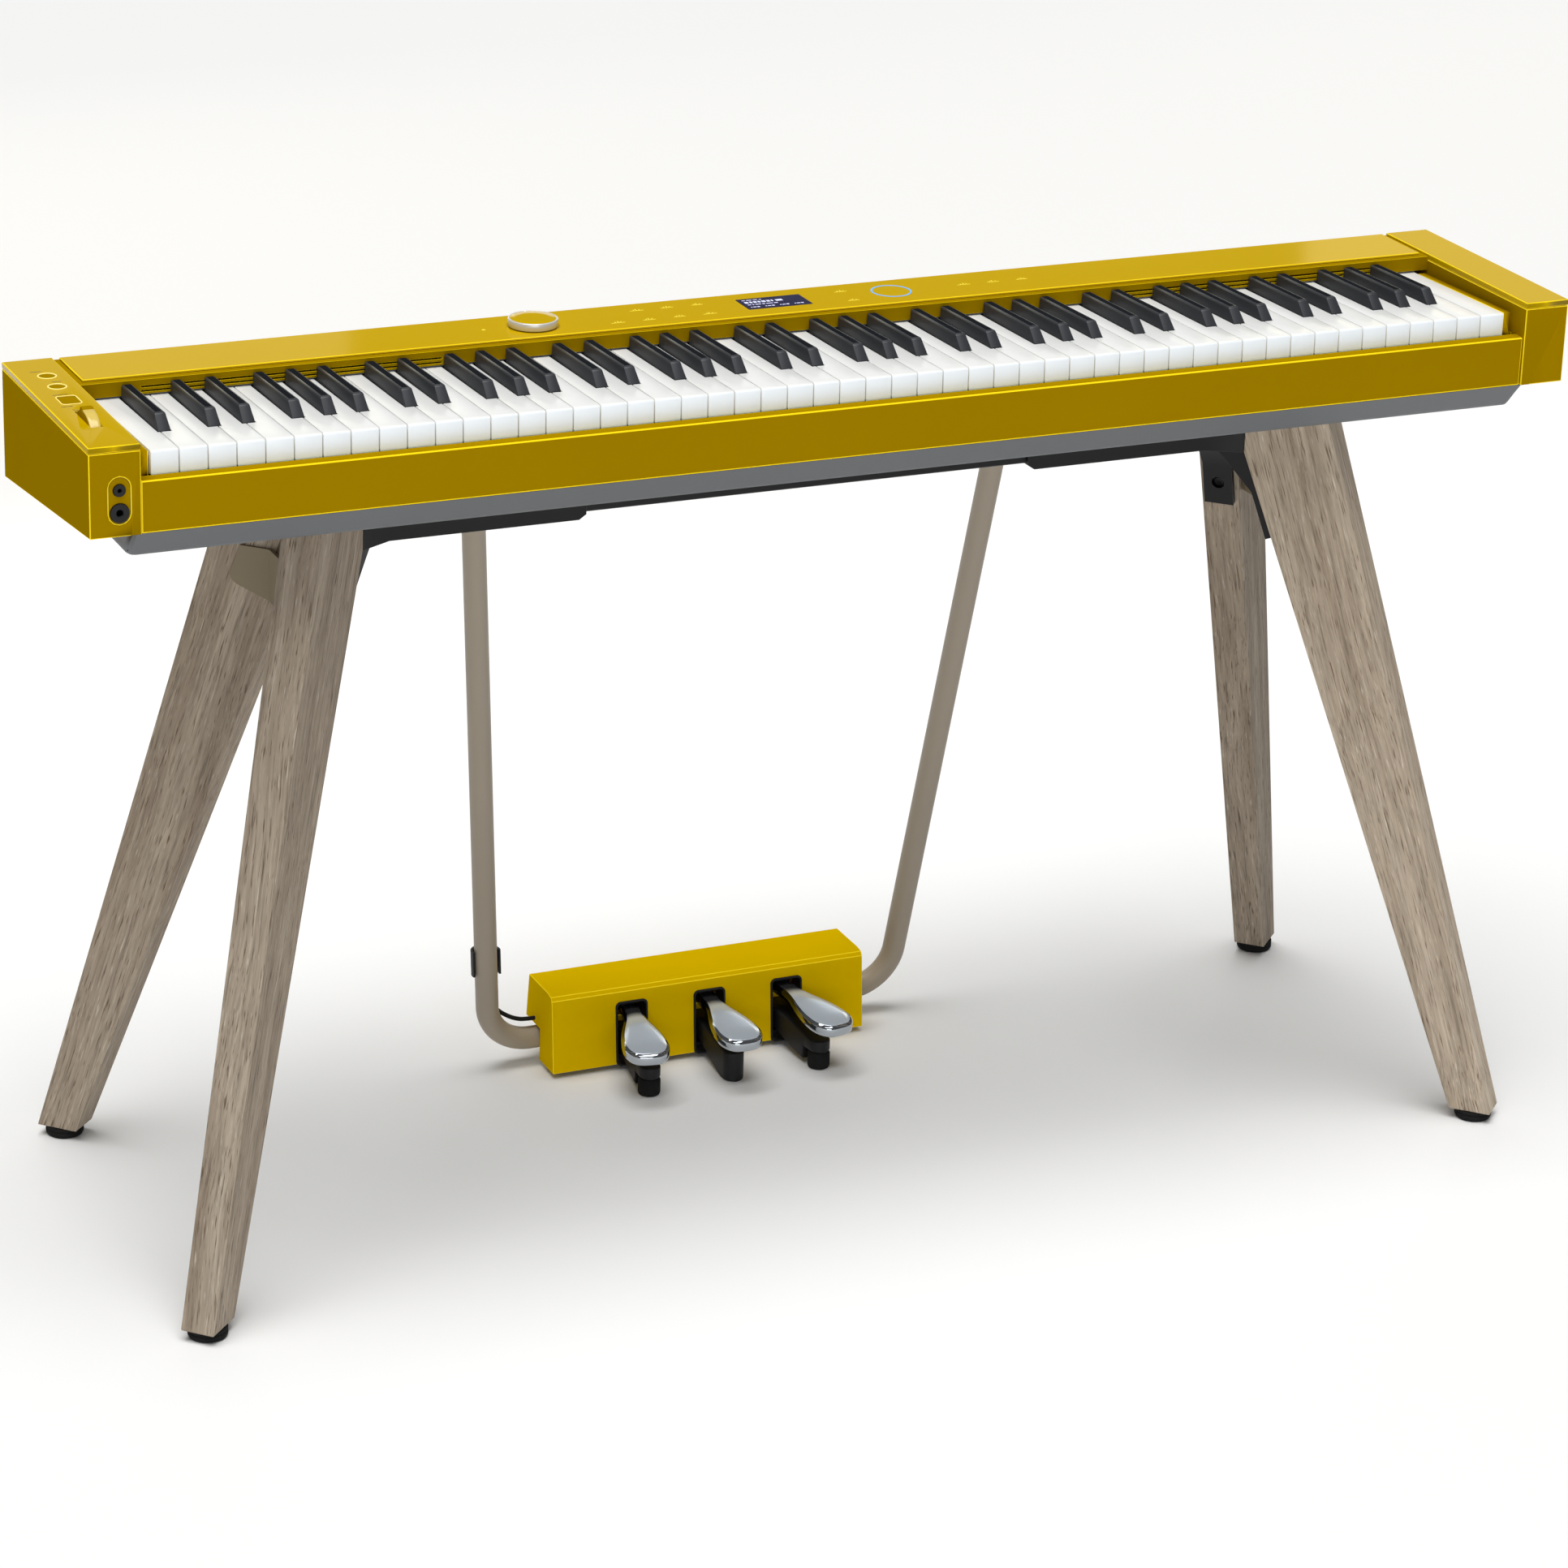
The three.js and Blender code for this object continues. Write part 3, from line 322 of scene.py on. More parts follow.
WHITE_PLASTIC = {"roughness": 0.30, "shine": 0.4, "variation": 0.012, "bump": 0.03, "cloud": 25}
BLACK_PLASTIC = {"variation": 0.12, "bump": 0.10, "grain": 1900}
PAINTS = {
    "mustard": moulded("mustard_plastic", (0.345, 0.205, 0.0), 0.4, 0.0),
    # wheel: painted highlight, a lighter glossy yellow for the pitch wheel's rim
    "wheel": moulded("wheel_rim", (0.74, 0.55, 0.13), 0.15, variation=0.02, bump=0.01),
    # ring: painted highlight, a glowing bright yellow on the raised rings and frame of the buttons
    "ring": lit("ring_painted_highlight", (1.0, 0.84, 0.22), 0.26),
    # mustard_edge_highlight: painted highlight, a bright yellow that glows on the rounded edges of the mustard
    # parts
    "mustard_edge_highlight": moulded("mustard_edge_highlight", (0.86, 0.62, 0.0), 0.35, 0.0, glow=(1.0, 0.80, 0.08, 0.17)),
    "lid": moulded("gloss_lid", (0.565, 0.366, 0.0), 0.07, 0.045, variation=0.02, bump=0.006),
    "panel": moulded("gloss_panel", (0.60, 0.388, 0.0), 0.08, 0.07, variation=0.02, bump=0.006),
    # pedal_box: painted light, the mustard made lighter to offset the shade the case casts on the pedal box
    "pedal_box": moulded("satin_mustard_painted_light", (0.80, 0.515, 0.0), 0.45, 0.0, bump=0.08),
    "grey": moulded("grey_plastic", (0.135, 0.142, 0.150), 0.5, 0.2, bump=0.12),
    # grey_edge_highlight: painted highlight, a lighter grey for the rounded edges
    "grey_edge_highlight": moulded("grey_edge_highlight", (0.23, 0.235, 0.24), 0.5, 0.3, bump=0.12),
    "white_key": moulded("white_key_plastic", (0.90, 0.905, 0.885), **WHITE_PLASTIC),
    # white_front_painted_light: painted light, a cool bluish glow on the key fronts that offsets the warm light
    # bouncing onto them
    "white_front_painted_light": moulded("white_key_front_painted_light", (0.93, 0.95, 0.97), glow=(0.22, 0.65, 1.0, 0.11),
                           **WHITE_PLASTIC),
    "black_key": moulded("black_key_plastic", (0.013, 0.0145, 0.017), 0.38, 0.0, **BLACK_PLASTIC),
    # black_key_side_painted_light: painted light, the sides painted lighter than the top
    "black_key_side_painted_light": moulded("black_key_side_painted_light", (0.034, 0.036, 0.041), 0.40, 0.15, **BLACK_PLASTIC),
    # black_key_edge_highlight: painted highlight on the rounded crest of the black keys
    "black_key_edge_highlight": moulded("black_key_edge_highlight", (0.045, 0.048, 0.053), 0.3, 0.2, variation=0.1),
    "black": moulded("black_plastic", (0.011, 0.011, 0.012), 0.5, 0.25, variation=0.15, bump=0.10),
    "steel": moulded("black_powder_coat", (0.008, 0.008, 0.009), 0.48, 0.25, variation=0.15, bump=0.22,
                     grain=1400),
    # steel_edge_highlight: painted highlight, a lighter black for the rounded edges
    "steel_edge_highlight": moulded("black_steel_edge", (0.028, 0.028, 0.030), 0.4, 0.4, variation=0.1, bump=0.1),
    "tan": moulded("tan_paint", (0.250, 0.200, 0.125), 0.42, 0.3),
    "taupe": moulded("taupe_paint", (0.36, 0.31, 0.243), 0.40, 0.3, bump=0.06),
    "rubber": moulded("rubber", (0.009, 0.009, 0.009), 0.82, 0.2, variation=0.2, bump=0.2),
    "silver": brushed_metal("silver_trim", (0.78, 0.77, 0.74), 0.32, (40, 40, 3000), metallic=0.25),
    # chrome and pedal_top: the fade to near black at the neck is a painted dark reflection
    "chrome": plated_with_painted_reflection("chrome", 0.95, 0.08, 98, 126, (0.50, 0.54, 0.58)),
    "pedal_top": plated_with_painted_reflection("chrome_top", 0.28, 0.16, 139, 152, (0.62, 0.685, 0.745)),
    "felt": felt_cloth(),
    "board": circuit_board(),
    "blue": lit("blue_light", (0.13, 0.42, 0.86), 0.35),
    "mark": lit("panel_mark", (0.90, 0.76, 0.02), 0.30),
    # legend: print on the lid, and on the jack pill a dark band of painted groove shade
    "legend": moulded("print_and_groove_shade", (0.10, 0.075, 0.01), 0.4, variation=0.1, bump=0.02),
    "white_mark": lit("white_mark", (0.92, 0.92, 0.90), 0.10),
    "screen": moulded("display_glass", (0.010, 0.008, 0.055), 0.12, variation=0.05, bump=0.01),
    "screen_mark": lit("screen_mark", (0.62, 0.64, 0.90), 0.5),
}
# The second finishes are painted light: highlights on rounded edges, a cool glow on the white key fronts, and the
# pedals' plating with its painted dark reflection.
EDGES = {                                       # the second finish, on rounded edges and chosen faces
    "mustard": "mustard_edge_highlight", "lid": "mustard_edge_highlight", "panel": "mustard_edge_highlight",
    "pedal_box": "mustard_edge_highlight", "grey": "grey_edge_highlight", "steel": "steel_edge_highlight",
    "white_key": "white_front_painted_light", "black_key": "black_key_edge_highlight", "pedal_top": "chrome",
}


# ---------------------------------------------------------------- outlines and paths
def turns(steps):
    return [2 * math.pi * k / steps for k in range(steps)]


def polar(radius, angle):
    return radius * math.cos(angle), radius * math.sin(angle)


def circle(radius, steps):
    """Points round a circle about the origin, or the origin alone when it has no radius."""
    return [polar(radius, a) for a in turns(steps)] if radius else [(0, 0)]


def rectangle(left, right, near, far):
    return [(left, near), (right, near), (right, far), (left, far)]


def rounded_outline(width, depth, radius, cx=0.0, cy=0.0, steps=6):
    """Points of a rectangle with round corners, anticlockwise."""
    points = []
    for quarter, (sx, sy) in enumerate(((1, 1), (-1, 1), (-1, -1), (1, -1))):
        for i in range(steps + 1):
            x, y = polar(radius, math.pi / 2 * (quarter + i / steps))
            points.append((cx + sx * (width / 2 - radius) + x, cy + sy * (depth / 2 - radius) + y))
    return points


def bent_path(corners, radius, steps):
    """Straight runs joined by round bends of one radius."""
    points = [corners[0]]
    for before, corner, after in zip(corners, corners[1:], corners[2:]):
        into, out = (corner - before).normalized(), (after - corner).normalized()
        angle = into.angle(out)
        start = corner - into * radius * math.tan(angle / 2)
        side = (out - into * into.dot(out)).normalized()
        centre = start + side * radius
        for k in range(steps + 1):
            x, y = polar(radius, angle * k / steps)
            points.append(centre - side * x + into * y)
    return points + [corners[-1]]


def bezier(a, b, c, d, steps):
    """Points after a along a cubic curve, up to and including d."""
    points = []
    for i in range(1, steps + 1):
        t = i / steps
        weights = ((1 - t) ** 3, 3 * t * (1 - t) ** 2, 3 * t * t * (1 - t), t ** 3)
        points.append(tuple(sum(w * p[k] for w, p in zip(weights, (a, b, c, d))) for k in (0, 1)))
    return points


# ---------------------------------------------------------------- bmesh helpers
def skin(sections, ends=(), loop=False):
    """A bmesh over a run of sections, each a list of points or a single tip; ends get a flat face."""
    bm = bmesh.new()
    rings = [[bm.verts.new(point) for point in section] for section in sections]
    run = rings + rings[:1] if loop else rings
    for low, high in zip(run, run[1:]):
        count = max(len(low), len(high))
        for i in range(count):
            j = (i + 1) % count
            corners = [low[i % len(low)], low[j % len(low)], high[j % len(high)], high[i % len(high)]]
            unique = list(dict.fromkeys(corners))
            if len(unique) > 2:
                bm.faces.new(unique)
    for end in ends:
        bm.faces.new(rings[end])
    return bm


def prism(outline, low, high, into=None):
    """A bmesh of an (x, y) outline between two heights, or the same added to another bmesh."""
    bm = bmesh.new() if into is None else into
    bottom = [bm.verts.new((x, y, low)) for x, y in outline]
    top = [bm.verts.new((x, y, high)) for x, y in outline]
    bm.faces.new(bottom[::-1])
    bm.faces.new(top)
    for i in range(len(outline)):
        j = (i + 1) % len(outline)
        bm.faces.new((bottom[i], bottom[j], top[j], top[i]))
    return bm


def levels(base, points):
    """A profile in metres from (radius, height above a base) points in millimetres."""
    return [(radius * MM, base + z * MM) for radius, z in points]


def turned(profile, centre=(0, 0), steps=96, loop=False):
    """A bmesh turned about a vertical axis from (radius, z) points."""
    return skin([[(centre[0] + x, centre[1] + y, z) for x, y in circle(radius, steps)]
                 for radius, z in profile], loop=loop)


def turned_ring(profile):
    """A bmesh turned about the Z axis from a closed loop of (radius, z) points in millimetres."""
    return turned(levels(0, profile), steps=64, loop=True)


def band(outer, inner, low, high):
    """A bmesh of the flat ring between two outlines with the same number of points."""
    return skin([[(x, y, z) for x, y in outline]
                 for outline, z in ((outer, low), (outer, high), (inner, high), (inner, low))], loop=True)


def sweep(points, radius, steps):
    """A bmesh tube with closed ends along a list of points."""
    side = Vector((0, 0, 1))
    sections = []
    for i, here in enumerate(points):
        ahead = (points[min(i + 1, len(points) - 1)] - points[max(i - 1, 0)]).normalized()
        side = (side - ahead * side.dot(ahead)).normalized()
        up = ahead.cross(side)
        sections.append([here + x * side + y * up for x, y in circle(radius, steps)])
    return skin(sections, ends=(0, -1))


def placed(bm, centre, axis=(0, 0, 1), spin=0.0):
    """Moves a shape made about the origin, along Z, to a place and an axis."""
    turn = Vector(axis).to_track_quat("Z", "Y").to_matrix().to_4x4()
    bm.transform(Matrix.Translation(Vector(centre)) @ turn @ Matrix.Rotation(spin, 4, "Z"))
    return bm


def sharp_edges(bm, angle=35):
    limit = math.radians(angle)
    return [e for e in bm.edges if len(e.link_faces) == 2 and e.calc_face_angle(0) > limit]


def round_edges(bm, edges, width, segments, paint_slot=-1, clamp=True):
    bmesh.ops.bevel(bm, geom=edges, offset=width, offset_type="OFFSET", segments=segments, profile=0.5,
                    affect="EDGES", clamp_overlap=clamp, material=paint_slot)


def cad_bmesh(node):
    """The node's own shape with its flat faces made whole again."""
    bm = bmesh.new()
    bm.from_mesh(frame["nodes"][node].data)
    bmesh.ops.remove_doubles(bm, verts=bm.verts, dist=CLOSE)
    bmesh.ops.dissolve_limit(bm, angle_limit=math.radians(1), verts=bm.verts, edges=bm.edges)
    return bm


def mesh_of(name, bm):
    bmesh.ops.recalc_face_normals(bm, faces=bm.faces)
    mesh = bpy.data.meshes.new(name)
    bm.to_mesh(mesh)
    bm.free()
    return mesh


# ---------------------------------------------------------------- piece helpers
def node_body(node):
    for body, members in frame["record"]["behaviour"]["bodies"].items():
        if node in members:
            return body
    return MAIN


def middle_of(node):
    low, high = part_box(node)
    return (low + high) / 2


def piece(name, bm, paint, body=MAIN, node=None, smooth=True):
    """Links a bmesh as a piece with its finish, on a body or in place of a CAD node, on that one's body."""
    mesh = mesh_of(name, bm)
    made = bpy.data.objects.new(name, mesh)
    bpy.context.scene.collection.objects.link(made)
    mesh.materials.append(PAINTS[paint] if isinstance(paint, str) else paint)
    if paint in EDGES:
        mesh.materials.append(PAINTS[EDGES[paint]])
    mesh.polygons.foreach_set("use_smooth", [smooth] * len(mesh.polygons))
    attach(made, node_body(node) if node else body)
    if node:
        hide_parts(node)
    return made


def flat_faced(made):
    """Keeps the large flat faces truly flat, with all the turning of the normals in the rounded edges."""
    weights = made.modifiers.new("normals", "WEIGHTED_NORMAL")
    weights.mode = "FACE_AREA"
    weights.weight = 100
    weights.keep_sharp = True


def bevelled(made, width, segments=3, angle=30):
    """Rounds the sharp edges and gives them the piece's second finish, where it has one: a painted edge highlight.
    """
    bevel = made.modifiers.new("edge", "BEVEL")
    bevel.width = width
    bevel.segments = segments
    bevel.limit_method = "ANGLE"
    bevel.angle_limit = math.radians(angle)
    bevel.use_clamp_overlap = True
    if len(made.data.materials) > 1:
        bevel.material = 1
    flat_faced(made)


def refined(node, paint, width, segments=3):
    """A CAD node's shape with rounded edges and a finish."""
    bevelled(piece(f"{node}_piece", cad_bmesh(node), paint, node=node), width, segments)


def edged(node, paint, width, shortest=30 * MM, reach=0.1 * MM):
    """A CAD piece with only its long outer edges rounded, so that holes don't limit the rounding; the rounded
    edges take the painted edge highlight.
    """
    bm = cad_bmesh(node)
    low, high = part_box(node)

    def outside(v):
        return min(abs(v.co[k] - limit[k]) for k in (0, 1) for limit in (low, high)) < reach

    edges = [e for e in sharp_edges(bm, 30)
             if e.calc_length() > shortest and all(outside(v) for v in e.verts)]
    round_edges(bm, edges, width, 3, 1, clamp=False)
    flat_faced(piece(f"{node}_piece", bm, paint, node=node))


def finish_cad(node, paint):
    """A CAD node whose shape is right as it is: only its finish changes."""
    mesh = frame["nodes"][node].data
    mesh.materials.clear()
    mesh.materials.append(PAINTS[paint])


def bolt_head(name, centre, axis, radius, steps=36):
    """A low button head with a hexagonal socket."""
    height, socket_half = 0.32 * radius, 0.42 * radius
    socket = [polar(socket_half / math.cos(a % (math.pi / 3) - math.pi / 6), a) for a in turns(steps)]
    outlines = [(circle(share * radius, steps), z)
                for share, z in ((1.0, 0.0), (1.0, 0.35), (0.93, 0.75), (0.78, 1.0))]
    outlines += [(socket, 1.0), (socket, 0.25)]
    bm = skin([[(x, y, z * height) for x, y in outline] for outline, z in outlines], ends=(0, -1))
    bevelled(piece(name, placed(bm, centre, axis), "steel"), 0.15 * MM, 2, 40)


# ---------------------------------------------------------------- case
LID_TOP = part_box("left_lid")[1].z
CASE_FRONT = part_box("left_lid")[0].y
CASE_FOOT = LID_TOP - 74.3 * MM                 # the case's lower front edge
PANEL_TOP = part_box("touch_panel")[1].z
TRAY_END_RADIUS = 9.5 * MM
TRAY_SCREW_PITCH = 196 * MM


def tray_outer(steps=8):
    """The tray's outer skin: its side view carried across, and drawn in at the round ends."""
    low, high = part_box("bottom_case")
    side_view = [(low.y, high.z, 1), (low.y + 17.3 * MM, low.z + 4.1 * MM, 1),
                 (low.y + 20.0 * MM, low.z + 1.3 * MM, 1), (low.y + 24.0 * MM, low.z, 1),
                 (high.y - 5.5 * MM, low.z, -1), (high.y - 1.5 * MM, low.z + 1.5 * MM, -1),
                 (high.y, low.z + 5.2 * MM, -1), (high.y, high.z, -1)]
    sections = []
    for end in (-1, 1):
        for i in range(steps + 1):
            a = math.pi / 2 * (i if end < 0 else steps - i) / steps
            inset = TRAY_END_RADIUS * (1 - math.sin(a))
            x = end * (high.x - TRAY_END_RADIUS + TRAY_END_RADIUS * math.cos(a))
            sections.append([(x, y + inward * 0.8 * inset, z + (inset if z < high.z - 1 * MM else 0))
                             for y, z, inward in side_view])
    return skin(sections, ends=(0, -1))


def bottom_case():
    """The grey tray: the CAD's own slots and hollow, inside a body whose ends are well rounded."""
    outer = bpy.data.objects.new("tray_outer", mesh_of("tray_outer", tray_outer()))
    made = piece("bottom_case_piece", cad_bmesh("bottom_case"), "grey", node="bottom_case")
    bpy.context.scene.collection.objects.link(outer)
    trim = made.modifiers.new("round_ends", "BOOLEAN")
    trim.operation = "INTERSECT"
    trim.object = outer
    trim.solver = "EXACT"
    bpy.context.view_layer.update()
    shaped = bpy.data.meshes.new_from_object(made.evaluated_get(bpy.context.evaluated_depsgraph_get()))
    made.modifiers.clear()
    made.data = shaped
    shaped.materials.clear()
    shaped.materials.append(PAINTS["grey"])
    bpy.data.objects.remove(outer)
    shaped.polygons.foreach_set("use_smooth", [True] * len(shaped.polygons))
    flat_faced(made)


def tray_screws():
    """Two rows of seven screws under the tray."""
    low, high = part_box("bottom_case")
    for i in range(7):
        for row, y in (("front", low.y + 42 * MM), ("rear", high.y - 16 * MM)):
            bolt_head(f"case_screw_{i}_{row}", ((i - 3) * TRAY_SCREW_PITCH, y, low.z + 0.25 * MM),
                      (0, 0, -1), 3.4 * MM)


def make_rear():
    """Rims round the rear sockets, and the screws of the rear wall."""
    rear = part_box("rear_deck")[1].y
    socket_z = CASE_FOOT + 15.5 * MM
    screw_z = CASE_FOOT - 9 * MM
    for name, x, bore, rim in (("power_inlet", -60, 4.8, 6.6), ("left_line", 20, 5.2, 7.2),
                               ("right_line", 44, 5.2, 7.2)):
        bm = turned_ring([(bore, -2.0), (rim, -2.0), (rim, -0.35), (rim - 0.5, -0.02),
                          (bore + 0.5, -0.02), (bore, -0.5)])
        piece(f"{name}_rim", placed(bm, (x * MM, rear, socket_z), (0, 1, 0)), "black")
    for i, x in enumerate((-560, -380, -170, 130, 300, 470, 600)):
        bolt_head(f"rear_screw_{i}", (x * MM, rear - 0.9 * MM, screw_z), (0, 1, 0), 2.8 * MM)


def make_case():
    for node, paint, width in (("left_end_block", "mustard", 0.8), ("right_end_block", "mustard", 0.8),
                               ("left_lid", "lid", 0.7), ("right_lid", "lid", 0.7)):
        edged(node, paint, width * MM)
    refined("rear_deck", "mustard", 0.3 * MM)
    edged("touch_panel", "panel", 0.7 * MM)
    refined("front_rail", "mustard", 1.1 * MM)
    bottom_case()
    tray_screws()
    make_rear()
    for node, paint in (("key_felt", "felt"), ("key_bed", "black"), ("left_speaker", "black"),
                        ("right_speaker", "black"), ("main_board", "board")):
        finish_cad(node, paint)


# ---------------------------------------------------------------- controls
JACK_PILL = (19.8, 40.3)                        # the recess of the headphone jacks, in millimetres
JACK_PILL_Z = CASE_FOOT + 29.4 * MM


def round_button(name):
    """A button with a dished top inside a bright raised ring on the lid, whose glow is a painted highlight."""
    centre = middle_of(name)
    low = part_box(name)[0].z
    foot = levels(low, [(0, 0), (6.45, 0)])
    top = levels(LID_TOP, [(6.45, -0.3), (6.1, 0.1), (5.5, 0.12), (4.6, -0.25), (2.4, -0.65), (0, -0.75)])
    piece(f"{name}_cap", turned(foot + top, centre), "mustard", node=name)
    ring = turned_ring([(6.8, -0.6), (8.0, -0.1), (7.9, 0.4), (7.5, 0.66), (6.9, 0.55)])
    piece(f"{name}_ring", placed(ring, (centre.x, centre.y, LID_TOP)), "ring")


def square_button():
    """A soft-cornered square button with a dished top, in a bright frame whose glow is a painted highlight."""
    name = "square_button"
    centre = middle_of(name)
    low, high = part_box(name)
    width, depth = high.x - low.x, high.y - low.y

    def outline(grow, radius):
        return rounded_outline(width + grow, depth + grow, radius, centre.x, centre.y)

    sections = []
    for inset, z in ((0.15, low.z), (0.15, LID_TOP - 0.5 * MM), (0.35, LID_TOP - 0.05 * MM),
                     (0.8, LID_TOP + 0.15 * MM), (1.5, LID_TOP + 0.1 * MM), (2.6, LID_TOP - 0.25 * MM)):
        sections.append([(x, y, z) for x, y in outline(-2 * inset * MM, max(3.0 - inset, 1) * MM)])
    piece(f"{name}_cap", skin(sections, ends=(0, -1)), "mustard", node=name)
    frame_band = band(outline(2.8 * MM, 3.8 * MM), outline(1.0 * MM, 3.0 * MM),
                      LID_TOP - 0.3 * MM, LID_TOP + 0.4 * MM)
    bevelled(piece(f"{name}_frame", frame_band, "ring"), 0.25 * MM, 2)


def pitch_wheel():
    """A wheel with a flat rim and a thumb ridge across it, a little behind the top; the rim is painted lighter as
    a painted highlight.
    """
    name = "pitch_wheel"
    low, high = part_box(name)
    centre = Vector(JOINTS["pitch_wheel_turn"]["pos_m"])
    centre.x = (low.x + high.x) / 2
    half = (high.x - low.x) / 2 - 0.1 * MM
    radius = (high.y - low.y) / 2 - 0.15 * MM
    ridge_at, ridge_half, ridge_side, ridge_height = 80, 5.5, 3.0, 1.9      # degrees, and millimetres
    sections = [[(-half, 0, 0)]]
    for across, drop in ((-1, 0.9), (-0.94, 0.35), (-0.82, 0.05), (-0.5, 0), (0.5, 0), (0.82, 0.05),
                         (0.94, 0.35), (1, 0.9)):
        section = []
        for a in turns(300):
            off = abs(math.degrees(a) - ridge_at)
            down = min(1.0, max(0.0, (off - ridge_half) / ridge_side)) * ridge_height
            section.append((across * half, *polar(radius - (drop + down) * MM, a)))
        sections.append(section)
    bm = skin(sections + [[(half, 0, 0)]])
    bm.normal_update()
    for face in bm.faces:
        middle = face.calc_center_median()
        off = abs(math.degrees(math.atan2(middle.z, middle.y)) - ridge_at)
        # the rim away from the ridge takes the wheel paint, a painted highlight
        if abs(face.normal.x) < 0.97 and off > ridge_half + ridge_side:
            face.material_index = 1
    bm.transform(Matrix.Translation(centre))
    rim = piece("pitch_wheel_rim", bm, "mustard", node=name)
    rim.data.materials[1] = PAINTS["wheel"]


def jack_pill(inset, radius):
    width, height = (size - 2 * inset for size in JACK_PILL)
    return rounded_outline(width * MM, height * MM, radius * MM, steps=12)


def headphone_sockets():
    """The inset pill of the end block, its raised border in painted highlight with a dark band of painted shade
    inside it for a groove, and a black bush and sleeve for each socket.
    """
    x = middle_of("headphone_jacks").x
    face = CASE_FRONT + 1 * MM
    refined("headphone_jacks", "black", 0.3 * MM)
    for name, outer, inner, front, paint in (
            # the border is a painted highlight; the band inside it is painted shade where a groove would be
            ("pill_border", (0, 9.8), (1.0, 8.8), 0.6, "mustard_edge_highlight"),
            ("pill_groove_shade", (1.05, 8.7), (1.5, 8.3), 0.1, "legend")):
        border = band(jack_pill(*outer), jack_pill(*inner), 0, front * MM)
        piece(name, placed(border, (x, face, JACK_PILL_Z), (0, -1, 0), math.pi), paint)
    for name, z, bore, rim in (("small_socket", 37.6, 2.2, 4.6), ("large_socket", 19.2, 3.3, 6.3)):
        bush = [(bore + 0.6, 0.1), (rim, 0.1), (rim, 0.9), (rim - 0.7, 1.35), (bore + 1.2, 1.35),
                (bore + 0.6, 0.9)]
        sleeve = [(bore - 0.6, -3), (bore + 0.7, -3), (bore + 0.7, 1.1), (bore + 0.2, 1.25),
                  (bore - 0.6, 0.8)]
        for part, profile, paint in (("bush", bush, "black"), ("sleeve", sleeve, "steel")):
            ring = placed(turned_ring(profile), (x, face, CASE_FOOT + z * MM), (0, -1, 0))
            piece(f"{name}_{part}", ring, paint)


def dial():
    """A silver knob with fine flutes, a glossy mustard cap and a white pointer at the back."""
    name = "dial_knob"
    body = node_body(name)
    centre = middle_of(name)
    foot = PANEL_TOP + 0.9 * MM
    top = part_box(name)[1].z - 0.05 * MM
    flute = 0.09
    sections = [[(centre.x, centre.y, foot)]]
    for radius, z, depth in ((20.6, foot, 0), (21.2, foot + 0.4 * MM, flute), (21.2, top - 0.9 * MM, flute),
                             (20.9, top - 0.35 * MM, 0), (20.3, top, 0), (19.7, top - 0.15 * MM, 0),
                             (19.6, top - 0.5 * MM, 0)):
        points = [polar((radius + depth * (k % 2)) * MM, a) for k, a in enumerate(turns(180))]
        sections.append([(centre.x + x, centre.y + y, z) for x, y in points])
    sections.append([(centre.x, centre.y, top - 0.5 * MM)])
    piece("dial_skirt", skin(sections), "silver", node=name)
    shaft = levels(foot, [(0, -12), (3, -12), (3, 0.2), (0, 0.2)])
    piece("dial_shaft", turned(shaft, centre, 32), "steel", body)
    cap = levels(top, [(0, -1), (19.5, -1), (19.5, -0.25), (19.1, 0), (12, -0.12), (0, -0.2)])
    piece("dial_cap", turned(cap, centre), "lid", body)
    pointer = rectangle(centre.x - 0.9 * MM, centre.x + 0.9 * MM, centre.y + 16.8 * MM, centre.y + 21.1 * MM)
    mark = prism(pointer, top - 0.6 * MM, top + 0.05 * MM)
    bevelled(piece("dial_pointer", mark, "white_mark", body), 0.15 * MM, 2)


def flat_marks(name, outlines, paint, height, thick=0.06 * MM):
    """Thin printed or lit marks that stand a hair above a surface, as one piece."""
    bm = bmesh.new()
    for outline in outlines:
        prism(outline, height - thick, height + thick, bm)
    piece(name, bm, paint, smooth=False)


def bar(x, y, width, depth):
    """The outline of a small bar about a point, from millimetres in the case's own plan."""
    x, y = x * MM, CASE_FRONT + y * MM
    w, d = width * MM / 2, depth * MM / 2
    return rectangle(x - w, x + w, y - d, y + d)


def touch_marks():
    """Plain signs where the touch controls are: a bar with small stems, differing in their widths."""
    places = [(-121, 221.5), (-93, 222), (-65, 222), (-149.6, 192.5), (-121, 193), (-93, 193.7), (-65, 193.6),
              (69, 221), (69, 193), (181.3, 208.3), (209.6, 208.3), (237.5, 208.3)]
    outlines = []
    for i, (x, y) in enumerate(places):
        outlines.append(bar(x, y - 1.9, 12.5 - (i % 3), 0.9))
        outlines.append(bar(x - 2.2, y + 0.2, 0.9, 1.9))
        outlines.append(bar(x + 0.6 * (i % 2), y + 0.9, 0.9, 3.2))
        outlines.append(bar(x + 3.0, y + 0.2, 2.0, 0.9))
    spot_x, spot_y = -264.7 * MM, CASE_FRONT + 206.4 * MM
    outlines.append([(spot_x + x, spot_y + y) for x, y in circle(1.6 * MM, 24)])
    flat_marks("touch_marks", outlines, "mark", PANEL_TOP)
    legends = [bar(-650.0, 206.5, 9, 1.1), bar(-641.5, 175.8, 8, 1.1), bar(-648.5, 141.0, 13, 1.1),
               bar(-652.5, 109.0, 9, 1.1)]
    flat_marks("lid_legends", legends, "legend", LID_TOP)


